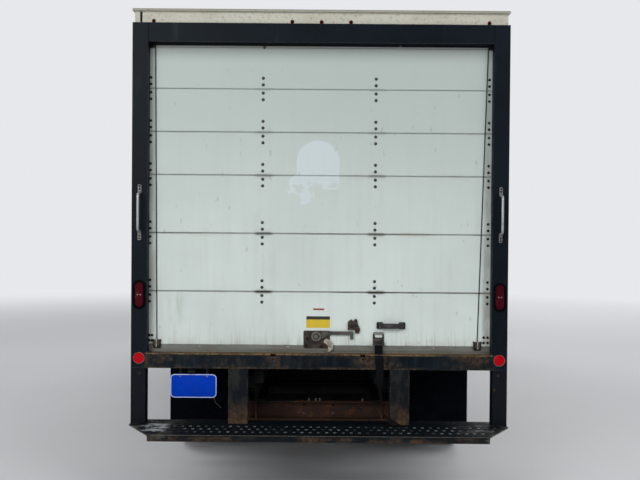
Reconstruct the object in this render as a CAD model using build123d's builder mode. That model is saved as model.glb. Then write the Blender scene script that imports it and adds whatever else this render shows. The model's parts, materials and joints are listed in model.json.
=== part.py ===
from build123d import *
import itertools
import math
import os

# A rear-loading box truck: a cutaway van cab on a ladder chassis with twin rear wheels, carrying
# an aluminium dry-freight body with a roll-up rear door and a step bumper.
# Millimetres. +Z up, +Y forward, +X to the vehicle's right, origin on the ground at mid-length.

# Driving dimensions of the whole vehicle
body_width = 2438.0
box_length = 4270.0
wheelbase = 4500.0
front_overhang = 900.0
cab_length_behind_axle = 1740.0
cab_gap = 40.0
bumper_depth = 300.0

# Stations along the vehicle, from the front bumper's face to the step bumper's edge
rear_overhang = cab_length_behind_axle + cab_gap + box_length - wheelbase
overall_length = front_overhang + wheelbase + rear_overhang + bumper_depth
front_axle_y = overall_length / 2 - front_overhang
rear_axle_y = front_axle_y - wheelbase
cab_rear_y = front_axle_y - cab_length_behind_axle
box_front_y = cab_rear_y - cab_gap
box_rear_y = box_front_y - box_length
body_half = body_width / 2

# Wheels and tyres
tyre_radius = 372.0
tyre_width = 223.0
tread_inset = 14.0
shoulder_bevel = 18.0
rim_radius = 206.0
rim_width = 170.0
rim_wall = 9.0
bulge_height = 82.0
front_track_half = 870.0
twin_spacing = 262.0
twin_outer_x = 1048.5
twin_inner_x = twin_outer_x - twin_spacing
rear_outer_face = twin_outer_x + tyre_width / 2
spindle_radius = 34.0
running_gap = 0.3
hub_radius = 62.0
hub_cap = 22.0
kingpin_x = 770.0
kingpin_radius = 16.0
well_depth = 20.0
disc_wall = 10.0
disc_flat_radius = 115.0
hand_hole_count = 8
hand_hole_circle = 147.0
hand_hole_radius = 17.0
front_dish = 125.0
twin_dish = twin_spacing / 2
front_hub_inner = front_track_half - 33
front_hub_outer = front_track_half + front_dish + 30
rear_hub_inner = twin_inner_x - 46
rear_hub_outer = twin_outer_x + 26

# Chassis: heights stack up from the axles to the load floor
ride_height = 213.0
rail_height = 165.0
sill_beam_height = 102.0
bearer_height = 76.0
deck_thickness = 32.0
rail_bottom = tyre_radius + ride_height
rail_top = rail_bottom + rail_height
bearer_bottom = rail_top + sill_beam_height
deck_bottom = bearer_bottom + bearer_height
floor_height = deck_bottom + deck_thickness
bearer_width = 60.0
bearer_wall = 6.0
bearer_count = 11
rail_flange = 65.0
rail_wall = 8.0
rail_outer_x = 432.0
rail_inner_x = rail_outer_x - rail_wall
rail_front_y = front_axle_y + 740.0
rail_rear_y = box_rear_y + 330.0
crossmember_ys = (
    front_axle_y + 600, front_axle_y - 1250, front_axle_y - 2500,
    rear_axle_y + 760, rear_axle_y - 760,
)
crossmember_half_depth = 35.0
hitch_y = box_rear_y + 400.0
hitch_half = 500.0
hitch_height = 126.0
hitch_drop = 11.0
hitch_wall = 6.0
hitch_z = (rail_bottom - hitch_drop - hitch_height, rail_bottom - hitch_drop)
hitch_hole_x = 100.0
hitch_hole_rise = 30.0
hitch_hole_z = sum(hitch_z) / 2
hitch_hole_radius = 8.5
spring_width = 75.0
spring_x_front = rail_outer_x - 70
spring_x_rear = rail_outer_x + 48
front_seat_z = tyre_radius - 6
rear_seat_z = tyre_radius + 48
pinion_reach = 330.0
tank_height = 350.0
tank_drop = 155.0
tank_outer_x = body_half - 139
tank_inner_x = rail_outer_x + 38
tank_y = (box_front_y - 1050, box_front_y - 50)
tank_z = (rail_bottom - tank_drop, rail_bottom - tank_drop + tank_height)
pipe_radius = 30.0
muffler_radius = 95.0
pipe_x = rail_outer_x + 93
pipe_z = rail_bottom - 55
muffler_y = (box_front_y - 745, box_front_y - 45)

# Box body
wall_thickness = 38.0
front_wall_thickness = 40.0
roof_thickness = 45.0
opening_height = 2013.0
header_height = 122.0
cap_height = 90.0
cap_lip = 14.0
header_bottom = floor_height + opening_height
header_top = header_bottom + header_height
roof_top = header_top + cap_height
rear_frame_depth = 104.0
post_width = 104.0
sill_height = 96.0
sill_proud = 8.0
sill_lap = 12.0
sill_bottom = floor_height - sill_height
base_rail_height = 120.0
edge_rail_size = 70.0
edge_rail_wall = 4.0
corner_post_size = 60.0
skin_half = body_half - edge_rail_wall
inner_half = skin_half - wall_thickness
skin_top = roof_top - edge_rail_wall
roof_bottom = skin_top - roof_thickness
opening_half = body_half - post_width
deck_y = (box_rear_y + rear_frame_depth, box_front_y - front_wall_thickness)
bearer_first_y = deck_y[0] + 86
bearer_pitch = (box_front_y - corner_post_size - 35 - bearer_first_y) / (bearer_count - 1)

# Roll-up door: heights from the bottom panel to the top one
panel_heights = (353.0, 381.0, 380.0, 281.0, 281.0, 308.0)
panel_thickness = 19.0
panel_seam = 3.0
door_recess = 62.0
door_lap = 7.0
door_clearance = 12.0
door_half = opening_half + door_lap
bottom_rail_height = 45.0
seam_bevel = 4.0
door_bottom_z = floor_height + bottom_rail_height
door_top = door_bottom_z + sum(panel_heights)
panel_y = (box_rear_y + door_recess, box_rear_y + door_recess + panel_thickness)

# Lamps and handles on the rear frame
lamp_x = body_half - post_width / 2
tail_lamp_z = floor_height + 378
tail_lamp_size = (54.0, 161.0)
tail_lamp_proud = 8.0
lamp_rim = 12.0
lamp_recess = 10.0
reflector_z = floor_height - 32
reflector_radius = 37.5
cap_recess = 16.0
top_lamp_xs = (134 - body_half, -190.0, 0.0, 190.0, body_half - 134)
top_lamp_radius = 13.0
grab_z = floor_height + 910
grab_length = 359.0
grab_pad = (22.0, 62.0)
grab_pad_thickness = 5.0
grab_reach = 55.0
grab_bar_radius = 8.0
grip_root = 3.4

# Door gear: places across the door, and heights above the load floor
striker_xs = (-297.0, 284.0)
striker_size = (32.0, 16.0)
cable_radius = 3.0
cable_ends = ((59 - door_half, 40 - door_half), (door_half - 87, door_half - 32))
cable_anchor = (52.0, 58.0)
cable_anchor_rise = 80.0
latch_x = -19.0
latch_rise = 109.0
latch_plate_size = (173.0, 116.0)
latch_plate_middle = (-16.5, 88.0)
plate_thickness = 5.0
lever_radius = 34.0
lever_reach = 241.0
lever_depth = 23.0
lever_drop = 52.0
lever_thickness = 14.0
keeper_thickness = 16.0
handle_x = 469.0
handle_rise = 182.5
handle_length = 189.0
handle_pad = (44.0, 46.0)
handle_height = 34.0
handle_reach = 40.0
handle_wall = 7.0
buckle_size = (74.0, 84.0)
buckle_rise = 96.0
buckle_bar_radius = 9.0
buckle_bar_reach = 22.0
strap_x = 388.0
strap_width = 52.0
strap_thickness = 2.4

# Step bumper and its carriers
lower_post_height = 359.0
bumper_top = sill_bottom - lower_post_height
bumper_thickness = 40.0
bumper_wall = 6.0
bumper_square_end = 45.0
bumper_rear_half = body_half - 172
lower_post_width = 95.0
lower_post_depth = 76.0
upright_x = 524.0
upright_width = 125.0
upright_depth = 100.0
post_wall = 6.0
flap_thickness = 8.0
flap_y = rear_axle_y - tyre_radius - 191
flap_inner_x = rail_outer_x + 128
flap_outer_x = rear_outer_face - 10
flap_bottom = 230.0
flap_top = rail_top - 20
flap_hanger = 40.0

# Cab: heights stack up from the chassis rails
cab_half = 1010.0
cab_floor = rail_top + 20
belt_rise = 520.0
belt_height = cab_floor + belt_rise
upper_height = 770.0
cab_roof = belt_height + upper_height
rocker_bottom = cab_floor - 290
panel_gap = 8.0
cab_wall = 50.0
wing_wall = 30.0
hood_half = 640.0
arch_radius = 450.0
door_front_y = front_axle_y - 470.0
rear_corner = 260.0
door_rear_y = cab_rear_y + rear_corner
door_bottom = rocker_bottom + 80
door_taper = 8.0
door_top_drop = 110.0
window_rise = 45.0
window_drop = 175.0
glass_thickness = 5.0
glass_inset = 12.0
nose_y = front_axle_y + 860.0
scuttle_y = front_axle_y - 50.0
screen_foot_y = front_axle_y - 150.0
screen_foot_rise = 22.0
side_lean = 130.0
sill_tuck = 36.0
nose_taper = 75.0
screen_top_y = front_axle_y - 850.0
hood_rear_y = front_axle_y - 70.0
hood_front_y = nose_y - 90
hood_front_z = belt_height - 180
post_front_y = door_front_y + 60.0
screen_half = 830.0
cowl_depth = 26.0
bumper_face_y = front_axle_y + front_overhang
bumper_sheet = 8.0
bumper_low = rocker_bottom - 30
bumper_high = rocker_bottom + 190
headlamp_x = (hood_half - 220, hood_half - 30)
headlamp_z = (belt_height - 490, belt_height - 345)
headlamp_depth = 34.0
grille_half = headlamp_x[0] - 40
grille_slot = 32.0
grille_pitch = 45.0
grille_slot_count = 5
grille_first_z = belt_height - 545
wheel_x = -430.0
wheel_tilt = 30.0
wheel_ring = 195.0
wheel_centre = (wheel_x, door_front_y - 330.0, cab_floor + 400)
dash_low = cab_floor + 190
seat_y = door_front_y - 700.0
seat_width = 500.0
mirror_x = (cab_half + 65, cab_half + 265)
mirror_arm_x = cab_half + 155

sides = ((-1, "left"), (1, "right"))
parts = {}


def keep(piece, label):
    """Labels a finished piece and lists it for export."""
    piece.part.label = label
    parts[label] = piece.part


def block(x, y, z, mode=Mode.ADD):
    """A rectangular block in the open part, between the two ends given on each axis."""
    ends = (x, y, z)
    with Locations(tuple((a + b) / 2 for a, b in ends)):
        Box(*(abs(b - a) for a, b in ends), mode=mode)


def rod(start, end, radius, mode=Mode.ADD):
    """A round bar in the open part between two points."""
    axis = Vector(*end) - Vector(*start)
    with BuildSketch(Plane(origin=start, z_dir=axis)) as end_face:
        Circle(radius)
    extrude(end_face.sketch, amount=axis.length, mode=mode)


def channel(x, y, z, wall):
    """A C-section member across the vehicle in the open part, its web at the front."""
    block(x, y, z)
    block(x, (y[0], y[1] - wall), (z[0] + wall, z[1] - wall), mode=Mode.SUBTRACT)


def both(inner, outer):
    """The two strips, left and right, that lie between two distances from the middle."""
    return ((-outer, -inner), (inner, outer))


def axle_plane(axle_y):
    """The upright cross plane through a wheel's centre, with local y up."""
    return Plane(origin=(0, axle_y, tyre_radius), x_dir=(1, 0, 0), z_dir=(0, -1, 0))


def axle_line(axle_y):
    """The line across the vehicle that a wheel turns about."""
    return Axis((0, axle_y, tyre_radius), (1, 0, 0))


# Wheels

def make_tyres(axle_y, centres):
    """Tyres on one axle end, each turned from its bead, bulge and tread."""
    bead, bulge = rim_width / 2, tyre_width / 2
    tread = bulge - tread_inset
    with BuildPart() as tyres:
        for middle in centres:
            with BuildSketch(axle_plane(axle_y)):
                with BuildLine():
                    Polyline(
                        (middle - bead, rim_radius),
                        (middle - bulge, rim_radius + bulge_height),
                        (middle - tread, tyre_radius - shoulder_bevel),
                        (middle - tread + shoulder_bevel, tyre_radius),
                        (middle + tread - shoulder_bevel, tyre_radius),
                        (middle + tread, tyre_radius - shoulder_bevel),
                        (middle + bulge, rim_radius + bulge_height),
                        (middle + bead, rim_radius),
                        close=True,
                    )
                make_face()
            revolve(axis=axle_line(axle_y))
    return tyres


def make_rims(side, axle_y, wheels, hub_inner, hub_outer, brake):
    """Disc wheels with their hub and brake on one axle end, turned about the axle.

    wheels holds each wheel's middle and how far out of it its disc stands. hub_inner and
    hub_outer are the hub's ends. brake is its two ends and its radius. All are distances
    out from the vehicle's middle.
    """
    half = rim_width / 2
    well = rim_radius - well_depth
    bore = spindle_radius + running_gap
    with BuildPart() as rims:
        for middle, dish in wheels:
            out = math.copysign(1, dish)
            with BuildSketch(axle_plane(axle_y)):
                with BuildLine():
                    Polyline(
                        (side * (middle - half), rim_radius),
                        (side * (middle - half + 22), rim_radius),
                        (side * (middle - half + 46), well),
                        (side * (middle + half - 46), well),
                        (side * (middle + half - 22), rim_radius),
                        (side * (middle + half), rim_radius),
                        (side * (middle + half), rim_radius - rim_wall),
                        (side * (middle + half - 26), rim_radius - rim_wall),
                        (side * (middle + half - 50), well - rim_wall),
                        (side * (middle - half + 50), well - rim_wall),
                        (side * (middle - half + 26), rim_radius - rim_wall),
                        (side * (middle - half), rim_radius - rim_wall),
                        close=True,
                    )
                make_face()
                with BuildLine():
                    Polyline(
                        (side * (middle + dish), hub_radius - 2),
                        (side * (middle + dish), disc_flat_radius),
                        (side * (middle + out * 34), well - rim_wall + 2),
                        (side * (middle + out * 22), well - rim_wall + 2),
                        (side * (middle + dish - out * disc_wall), disc_flat_radius - 6),
                        (side * (middle + dish - out * disc_wall), hub_radius - 2),
                        close=True,
                    )
                make_face()
            revolve(axis=axle_line(axle_y))
        with BuildSketch(Plane(origin=(0, axle_y, tyre_radius), x_dir=(0, 1, 0), z_dir=(1, 0, 0))):
            with PolarLocations(hand_hole_circle, hand_hole_count):
                Circle(hand_hole_radius)
        extrude(amount=side * (hub_outer + rim_width), mode=Mode.SUBTRACT)
        with BuildSketch(axle_plane(axle_y)):
            with BuildLine():
                Polyline(
                    (side * hub_inner, bore),
                    (side * hub_inner, hub_radius),
                    (side * hub_outer, hub_radius),
                    (side * (hub_outer + hub_cap), hub_radius - 18),
                    (side * (hub_outer + hub_cap), 0),
                    (side * hub_outer, 0),
                    (side * hub_outer, bore),
                    close=True,
                )
            make_face()
            with BuildLine():
                Polyline(
                    (side * brake[0], bore),
                    (side * brake[0], brake[2]),
                    (side * brake[1], brake[2]),
                    (side * brake[1], bore),
                    close=True,
                )
            make_face()
        revolve(axis=axle_line(axle_y))
    return rims


for side, name in sides:
    keep(make_tyres(front_axle_y, [side * front_track_half]), f"front_tyre_{name}")
    keep(make_tyres(rear_axle_y, [side * twin_inner_x, side * twin_outer_x]), f"rear_tyres_{name}")
    keep(
        make_rims(
            side, front_axle_y, [(front_track_half, front_dish)],
            front_hub_inner, front_hub_outer, (front_hub_inner + 4, front_hub_inner + 30, 145.0),
        ),
        f"front_rim_{name}",
    )
    keep(
        make_rims(
            side, rear_axle_y, [(twin_inner_x, twin_dish), (twin_outer_x, -twin_dish)],
            rear_hub_inner, rear_hub_outer, (rear_hub_inner + 4, rear_hub_inner + 90, 150.0),
        ),
        f"rear_rims_{name}",
    )

# Axles, knuckles and springs

axle_eye = (tyre_radius - 44, tyre_radius + 44)
yoke_gap = 6.0
yoke_height = 30.0
yoke_low = (axle_eye[0] - yoke_gap - yoke_height, axle_eye[0] - yoke_gap)
yoke_high = (axle_eye[1] + yoke_gap, axle_eye[1] + yoke_gap + yoke_height)
beam_drop = 50.0
beam_half_depth = 36.0

with BuildPart() as front_axle:
    with BuildSketch(Plane.XZ.offset(-front_axle_y - beam_half_depth)) as beam_face:
        with BuildLine():
            Polyline(
                (-kingpin_x, axle_eye[0]), (-590, axle_eye[0]), (-470, axle_eye[0] - beam_drop),
                (470, axle_eye[0] - beam_drop), (590, axle_eye[0]), (kingpin_x, axle_eye[0]),
                (kingpin_x, axle_eye[1]), (590, axle_eye[1]), (470, axle_eye[1] - beam_drop),
                (-470, axle_eye[1] - beam_drop), (-590, axle_eye[1]), (-kingpin_x, axle_eye[1]),
                close=True,
            )
        make_face()
    extrude(amount=2 * beam_half_depth)
    for face in (-1, 1):
        with BuildSketch(Plane.XZ.offset(-front_axle_y + face * beam_half_depth)):
            with BuildLine():
                Polyline(
                    (-700, axle_eye[0] + 16), (-584, axle_eye[0] + 16),
                    (-464, axle_eye[0] - beam_drop + 16), (464, axle_eye[0] - beam_drop + 16),
                    (584, axle_eye[0] + 16), (700, axle_eye[0] + 16), (700, axle_eye[1] - 16),
                    (584, axle_eye[1] - 16), (464, axle_eye[1] - beam_drop - 16),
                    (-464, axle_eye[1] - beam_drop - 16), (-584, axle_eye[1] - 16),
                    (-700, axle_eye[1] - 16), close=True,
                )
            make_face()
        extrude(amount=-face * 24, mode=Mode.SUBTRACT)
    with BuildSketch(Plane.XY.offset(axle_eye[0])):
        with Locations((-kingpin_x, front_axle_y), (kingpin_x, front_axle_y)):
            Circle(beam_half_depth)
    extrude(amount=axle_eye[1] - axle_eye[0])
    with BuildSketch(Plane.XY.offset(axle_eye[0])):
        with Locations((-kingpin_x, front_axle_y), (kingpin_x, front_axle_y)):
            Circle(kingpin_radius + running_gap)
    extrude(amount=axle_eye[1] - axle_eye[0], mode=Mode.SUBTRACT)
keep(front_axle, "front_axle")

knuckle_plate = (kingpin_x + beam_half_depth + 6, kingpin_x + beam_half_depth + 26)
for side, name in sides:
    with BuildPart() as knuckle:
        for low, high in (yoke_low, yoke_high):
            with BuildSketch(Plane.XY.offset(low)):
                with Locations((side * kingpin_x, front_axle_y)):
                    Circle(beam_half_depth - 4)
                with Locations((side * (kingpin_x + knuckle_plate[1]) / 2, front_axle_y)):
                    Rectangle(knuckle_plate[1] - kingpin_x, 2 * beam_half_depth - 8)
            extrude(amount=high - low)
        with BuildSketch(Plane.XY.offset(yoke_low[0])):
            with Locations((side * kingpin_x, front_axle_y)):
                Circle(kingpin_radius)
        extrude(amount=yoke_high[1] - yoke_low[0])
        block(
            sorted(side * x for x in knuckle_plate),
            (front_axle_y - 50, front_axle_y + 50),
            (yoke_low[0], yoke_high[1]),
        )
        rod(
            (side * knuckle_plate[0], front_axle_y, tyre_radius),
            (side * (front_hub_outer - 6), front_axle_y, tyre_radius),
            spindle_radius,
        )
        block(
            sorted(side * x for x in (kingpin_x - 30, kingpin_x + 8)),
            (front_axle_y - 185, front_axle_y - 20),
            yoke_low,
        )
    keep(knuckle, f"knuckle_{name}")

axle_tube_radius = 48.0
with BuildPart() as rear_axle:
    rod((-(rear_hub_inner - 6), rear_axle_y, tyre_radius),
        (rear_hub_inner - 6, rear_axle_y, tyre_radius), axle_tube_radius)
    rod((-(rear_hub_outer - 6), rear_axle_y, tyre_radius),
        (rear_hub_outer - 6, rear_axle_y, tyre_radius), spindle_radius)
    with BuildSketch(axle_plane(rear_axle_y)):
        with BuildLine():
            Polyline((-190, 0), (-190, 60), (-90, 160), (90, 160), (190, 60), (190, 0), close=True)
        make_face()
    revolve(axis=axle_line(rear_axle_y))
    with BuildSketch(Plane.XZ.offset(-rear_axle_y)):
        with Locations((0, tyre_radius)):
            Circle(115)
    extrude(amount=-pinion_reach, taper=12)
    for low, high in both(spring_x_rear, spring_x_rear + spring_width):
        block((low, high), (rear_axle_y - 60, rear_axle_y + 60), (tyre_radius - 20, rear_seat_z))
keep(rear_axle, "rear_axle")


def leaf_spring(x_ends, axle_y, seat_z, tip_z, half_length):
    """A leaf pack in the open part: the main leaf and shorter ones under it, all bent alike."""
    thickness = 13.0
    shares = (1.0, 0.72, 0.5, 0.3)
    top = seat_z + thickness * len(shares)
    bow = tip_z - top
    for number, share in enumerate(shares):
        reach, rise = half_length * share, bow * share ** 2
        z = top - thickness * (number + 1)
        with BuildSketch(Plane.YZ.offset(x_ends[0])) as leaf:
            with BuildLine():
                ThreePointArc((axle_y - reach, z + rise), (axle_y, z), (axle_y + reach, z + rise))
                Line((axle_y + reach, z + rise), (axle_y + reach, z + rise + thickness))
                ThreePointArc(
                    (axle_y + reach, z + rise + thickness), (axle_y, z + thickness),
                    (axle_y - reach, z + rise + thickness),
                )
                Line((axle_y - reach, z + rise + thickness), (axle_y - reach, z + rise))
            make_face()
        extrude(leaf.sketch, amount=x_ends[1] - x_ends[0])


def spring_clamp(x_ends, axle_y, z_ends, half_depth):
    """The plates over and under a spring and its axle, with the four bolts that pull them together."""
    bolts = (x_ends[0] - bolt_radius - bolt_gap, x_ends[1] + bolt_radius + bolt_gap)
    for z in (z_ends[0] - clamp_plate, z_ends[1]):
        block((x_ends[0] - 20, x_ends[1] + 20), (axle_y - half_depth - 12, axle_y + half_depth + 12),
              (z, z + clamp_plate))
    for x, y in itertools.product(bolts, (axle_y - half_depth, axle_y + half_depth)):
        rod((x, y, z_ends[0] - clamp_plate - 22), (x, y, z_ends[1] + clamp_plate + 16), bolt_radius)


def damper(x, clamp_x, axle_y, foot_z):
    """A telescopic damper ahead of an axle, from its spring's clamp up to a bracket under the rail."""
    side = math.copysign(1, x)
    foot, head = (axle_y + 90, foot_z - 6), (axle_y + 190, rail_bottom - 32)
    middle = tuple((a + b) / 2 for a, b in zip(foot, head))
    rod((x, *foot), (x, *middle), damper_radius - 5)
    rod((x, *middle), (x, *head), damper_radius)
    bracket_x = x - side * (damper_radius + 4)
    block(sorted((bracket_x, clamp_x)), (axle_y + 52, axle_y + 108), (foot_z - clamp_plate, foot_z))
    block(sorted((bracket_x, side * (rail_outer_x - 5))), (head[0] - 24, head[0] + 24),
          (head[1] - 14, rail_bottom))


bolt_radius = 8.0
bolt_gap = 2.0
clamp_plate = 12.0
damper_radius = 30.0
leaf_stack = 52.0
with BuildPart() as leaf_springs:
    for x_ends in both(spring_x_front, spring_x_front + spring_width):
        spring_clamp(x_ends, front_axle_y, (front_seat_z - 88, front_seat_z + leaf_stack), 52)
        inner = min(x_ends, key=abs)
        damper(math.copysign(abs(inner) - 45, inner), inner, front_axle_y, front_seat_z - 88)
        leaf_spring(x_ends, front_axle_y, front_seat_z, rail_bottom - 40, 560.0)
        for end in (-1, 1):
            block(x_ends, sorted((front_axle_y + end * 520, front_axle_y + end * 570)),
                  (rail_bottom - 50, rail_bottom))
    for x_ends in both(spring_x_rear, spring_x_rear + spring_width):
        spring_clamp(x_ends, rear_axle_y, (tyre_radius - axle_tube_radius, rear_seat_z + leaf_stack), 70)
        inner = min(x_ends, key=abs)
        damper(math.copysign(abs(inner) - 80, inner), inner, rear_axle_y, tyre_radius - axle_tube_radius)
        leaf_spring(x_ends, rear_axle_y, rear_seat_z, rail_bottom + 10, 640.0)
    for outer in (-1, 1):
        for end in (-1, 1):
            block(sorted((outer * rail_outer_x, outer * (spring_x_rear + spring_width))),
                  sorted((rear_axle_y + end * 590, rear_axle_y + end * 650)),
                  (rail_bottom, rail_bottom + 70))
keep(leaf_springs, "leaf_springs")

# Ladder frame, drive line, tank and exhaust

with BuildPart() as ladder_frame:
    for outward in (-1, 1):
        with BuildSketch(Plane.XZ.offset(-rail_front_y)):
            with BuildLine():
                Polyline(
                    (outward * rail_outer_x, rail_bottom),
                    (outward * rail_outer_x, rail_top),
                    (outward * (rail_outer_x - rail_flange), rail_top),
                    (outward * (rail_outer_x - rail_flange), rail_top - rail_wall),
                    (outward * (rail_outer_x - rail_wall), rail_top - rail_wall),
                    (outward * (rail_outer_x - rail_wall), rail_bottom + rail_wall),
                    (outward * (rail_outer_x - rail_flange), rail_bottom + rail_wall),
                    (outward * (rail_outer_x - rail_flange), rail_bottom),
                    close=True,
                )
            make_face()
        extrude(amount=rail_front_y - rail_rear_y)
    for y in crossmember_ys:
        channel(
            (-rail_inner_x, rail_inner_x), (y - crossmember_half_depth, y + crossmember_half_depth),
            (rail_bottom + 40, rail_top - rail_wall), 6.0,
        )
    for x_ends in both(rail_outer_x, flap_outer_x):
        block(x_ends, (flap_y + flap_thickness / 2, flap_y + flap_thickness / 2 + flap_hanger),
              (flap_top - flap_hanger, flap_top))
        block(x_ends, (flap_y + flap_thickness / 2 + 6, flap_y + flap_thickness / 2 + flap_hanger),
              (flap_top - flap_hanger, flap_top - 6), mode=Mode.SUBTRACT)
keep(ladder_frame, "ladder_frame")

with BuildPart() as rear_crossmember:
    hanger_y = (hitch_y - 30, hitch_y + 30)
    channel((-hitch_half, hitch_half), hanger_y, hitch_z, hitch_wall)
    block((-hitch_half, hitch_half), (hitch_y - 20, hitch_y + 24), (hitch_z[0] - 48, hitch_z[0]))
    for x_ends in both(rail_outer_x, rail_outer_x + 10):
        block(x_ends, hanger_y, (hitch_z[0], rail_top - 30))
    for x, z in itertools.product(
        (-hitch_hole_x, hitch_hole_x), (hitch_hole_z - hitch_hole_rise, hitch_hole_z + hitch_hole_rise)
    ):
        rod((x, hitch_y + 20, z), (x, hitch_y + 34, z), hitch_hole_radius, mode=Mode.SUBTRACT)
keep(rear_crossmember, "rear_crossmember")

engine_z = (rail_bottom - 155, rail_bottom + 415)
gearbox_top = rail_bottom + 105
radiator_y = (front_axle_y + 690, front_axle_y + 735)
with BuildPart() as engine:
    block((-280, 280), (front_axle_y - 240, front_axle_y + 430), engine_z)
    block((-150, 150), (front_axle_y - 1050, front_axle_y - 240), (engine_z[0], gearbox_top))
    block((-170, 170), (front_axle_y - 960, front_axle_y - 900), (rail_bottom + 60, gearbox_top + 10))
    for mount_y in (front_axle_y - 930, front_axle_y + 90):
        block((-rail_inner_x, rail_inner_x), (mount_y - 25, mount_y + 25),
              (rail_bottom + 60, rail_bottom + 110))
    block((-360, 360), radiator_y, (rail_bottom + 20, engine_z[1] + 60))
    block((-rail_inner_x, rail_inner_x), radiator_y, (rail_bottom + 20, rail_bottom + 80))
keep(engine, "engine")

shaft_radius = 38.0
joint_radius = 48.0
shaft_front = (0, front_axle_y - 1050, rail_bottom - 65)
shaft_middle = (0, crossmember_ys[2] - 20, rail_bottom - 85)
shaft_rear = (0, rear_axle_y + pinion_reach, tyre_radius)
with BuildPart() as propshaft:
    rod(shaft_front, shaft_middle, shaft_radius)
    rod(shaft_middle, shaft_rear, shaft_radius)
    for joint, reach in ((shaft_front, -60), (shaft_middle, 0), (shaft_rear, 60)):
        with Locations((0, joint[1] + reach, joint[2])):
            Sphere(joint_radius)
    block((-60, 60), (shaft_middle[1] - 16, shaft_middle[1] + 16), (shaft_middle[2], rail_bottom + 40))
    for y_cut in ((shaft_front[1], shaft_front[1] + 100), (shaft_rear[1] - 100, shaft_rear[1])):
        block((-60, 60), y_cut, (tyre_radius - 72, rail_bottom + 15), mode=Mode.SUBTRACT)
keep(propshaft, "propshaft")

with BuildPart() as fuel_tank:
    tank_size = (tank_outer_x - tank_inner_x, tank_z[1] - tank_z[0])
    tank_middle = (-(tank_outer_x + tank_inner_x) / 2, sum(tank_z) / 2)
    with BuildSketch(Plane.XZ.offset(-tank_y[1])):
        with Locations(tank_middle):
            RectangleRounded(*tank_size, 60)
    extrude(amount=tank_y[1] - tank_y[0])
    for y in (tank_y[0] + 200, tank_y[1] - 200):
        block((-tank_inner_x - 10, -rail_outer_x), (y - 25, y + 25), (rail_bottom + 30, rail_top - 30))
        with BuildSketch(Plane.XZ.offset(-y - 25)):
            with Locations(tank_middle):
                RectangleRounded(tank_size[0] + 8, tank_size[1] + 8, 64)
        extrude(amount=50)
keep(fuel_tank, "fuel_tank")

with BuildPart() as exhaust:
    with BuildLine() as pipe_route:
        FilletPolyline(
            (280, front_axle_y - 180, pipe_z), (pipe_x, front_axle_y - 480, pipe_z),
            (pipe_x, rear_axle_y + 900, pipe_z), (pipe_x + 200, rear_axle_y + 620, pipe_z),
            (body_half - 20, rear_axle_y + 620, pipe_z), radius=90,
        )
    with BuildSketch(Plane(origin=pipe_route.line @ 0, z_dir=pipe_route.line % 0)):
        Circle(pipe_radius)
    sweep()
    rod((pipe_x, muffler_y[0], pipe_z), (pipe_x, muffler_y[1], pipe_z), muffler_radius)
    for y in (muffler_y[0] - 60, muffler_y[1] + 60):
        block((rail_outer_x, pipe_x + 12), (y - 12, y + 12), (rail_bottom + 20, rail_bottom + 32))
        block((pipe_x - 12, pipe_x + 12), (y - 12, y + 12), (pipe_z, rail_bottom + 32))
    block((0, 280), (front_axle_y - 330, front_axle_y - 50), (pipe_z - 230, pipe_z + 170),
          mode=Mode.SUBTRACT)
keep(exhaust, "exhaust")

# Box body: floor, walls, roof, edge rails

with BuildPart() as box_floor:
    block((-inner_half, inner_half), deck_y, (deck_bottom, floor_height))
    for number in range(bearer_count):
        y = bearer_first_y + number * bearer_pitch
        with BuildSketch(Plane.YZ.offset(-skin_half)):
            with Locations((y, (bearer_bottom + deck_bottom) / 2)):
                Rectangle(bearer_width, bearer_height)
                for web_side in (-1, 1):
                    with Locations((web_side * (bearer_width + bearer_wall) / 4, 0)):
                        Rectangle((bearer_width - bearer_wall) / 2, bearer_height - 2 * bearer_wall,
                                  mode=Mode.SUBTRACT)
        extrude(amount=2 * skin_half)
    for x_ends in both(body_half - corner_post_size, body_half):
        block(x_ends, (box_front_y - corner_post_size, box_front_y), (deck_bottom, floor_height),
              mode=Mode.SUBTRACT)
    for x_ends in both(rail_outer_x - rail_flange, rail_outer_x):
        block(x_ends, (deck_y[0], box_front_y - 10), (rail_top, bearer_bottom))
keep(box_floor, "box_floor")

for side, name in sides:
    with BuildPart() as box_wall:
        block(sorted((side * inner_half, side * skin_half)),
              (deck_y[0], box_front_y - corner_post_size), (deck_bottom, roof_bottom))
    keep(box_wall, f"box_wall_{name}")

with BuildPart() as box_wall_front:
    block((-body_half + corner_post_size, body_half - corner_post_size),
          (box_front_y - front_wall_thickness, box_front_y), (bearer_bottom, roof_bottom))
keep(box_wall_front, "box_wall_front")

with BuildPart() as box_roof:
    block((-skin_half, skin_half), (deck_y[0], box_front_y), (roof_bottom, skin_top))
    fillet(box_roof.edges().filter_by(Axis.X).group_by(Axis.Z)[-1].sort_by(Axis.Y)[-1], 40)
keep(box_roof, "box_roof")

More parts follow.
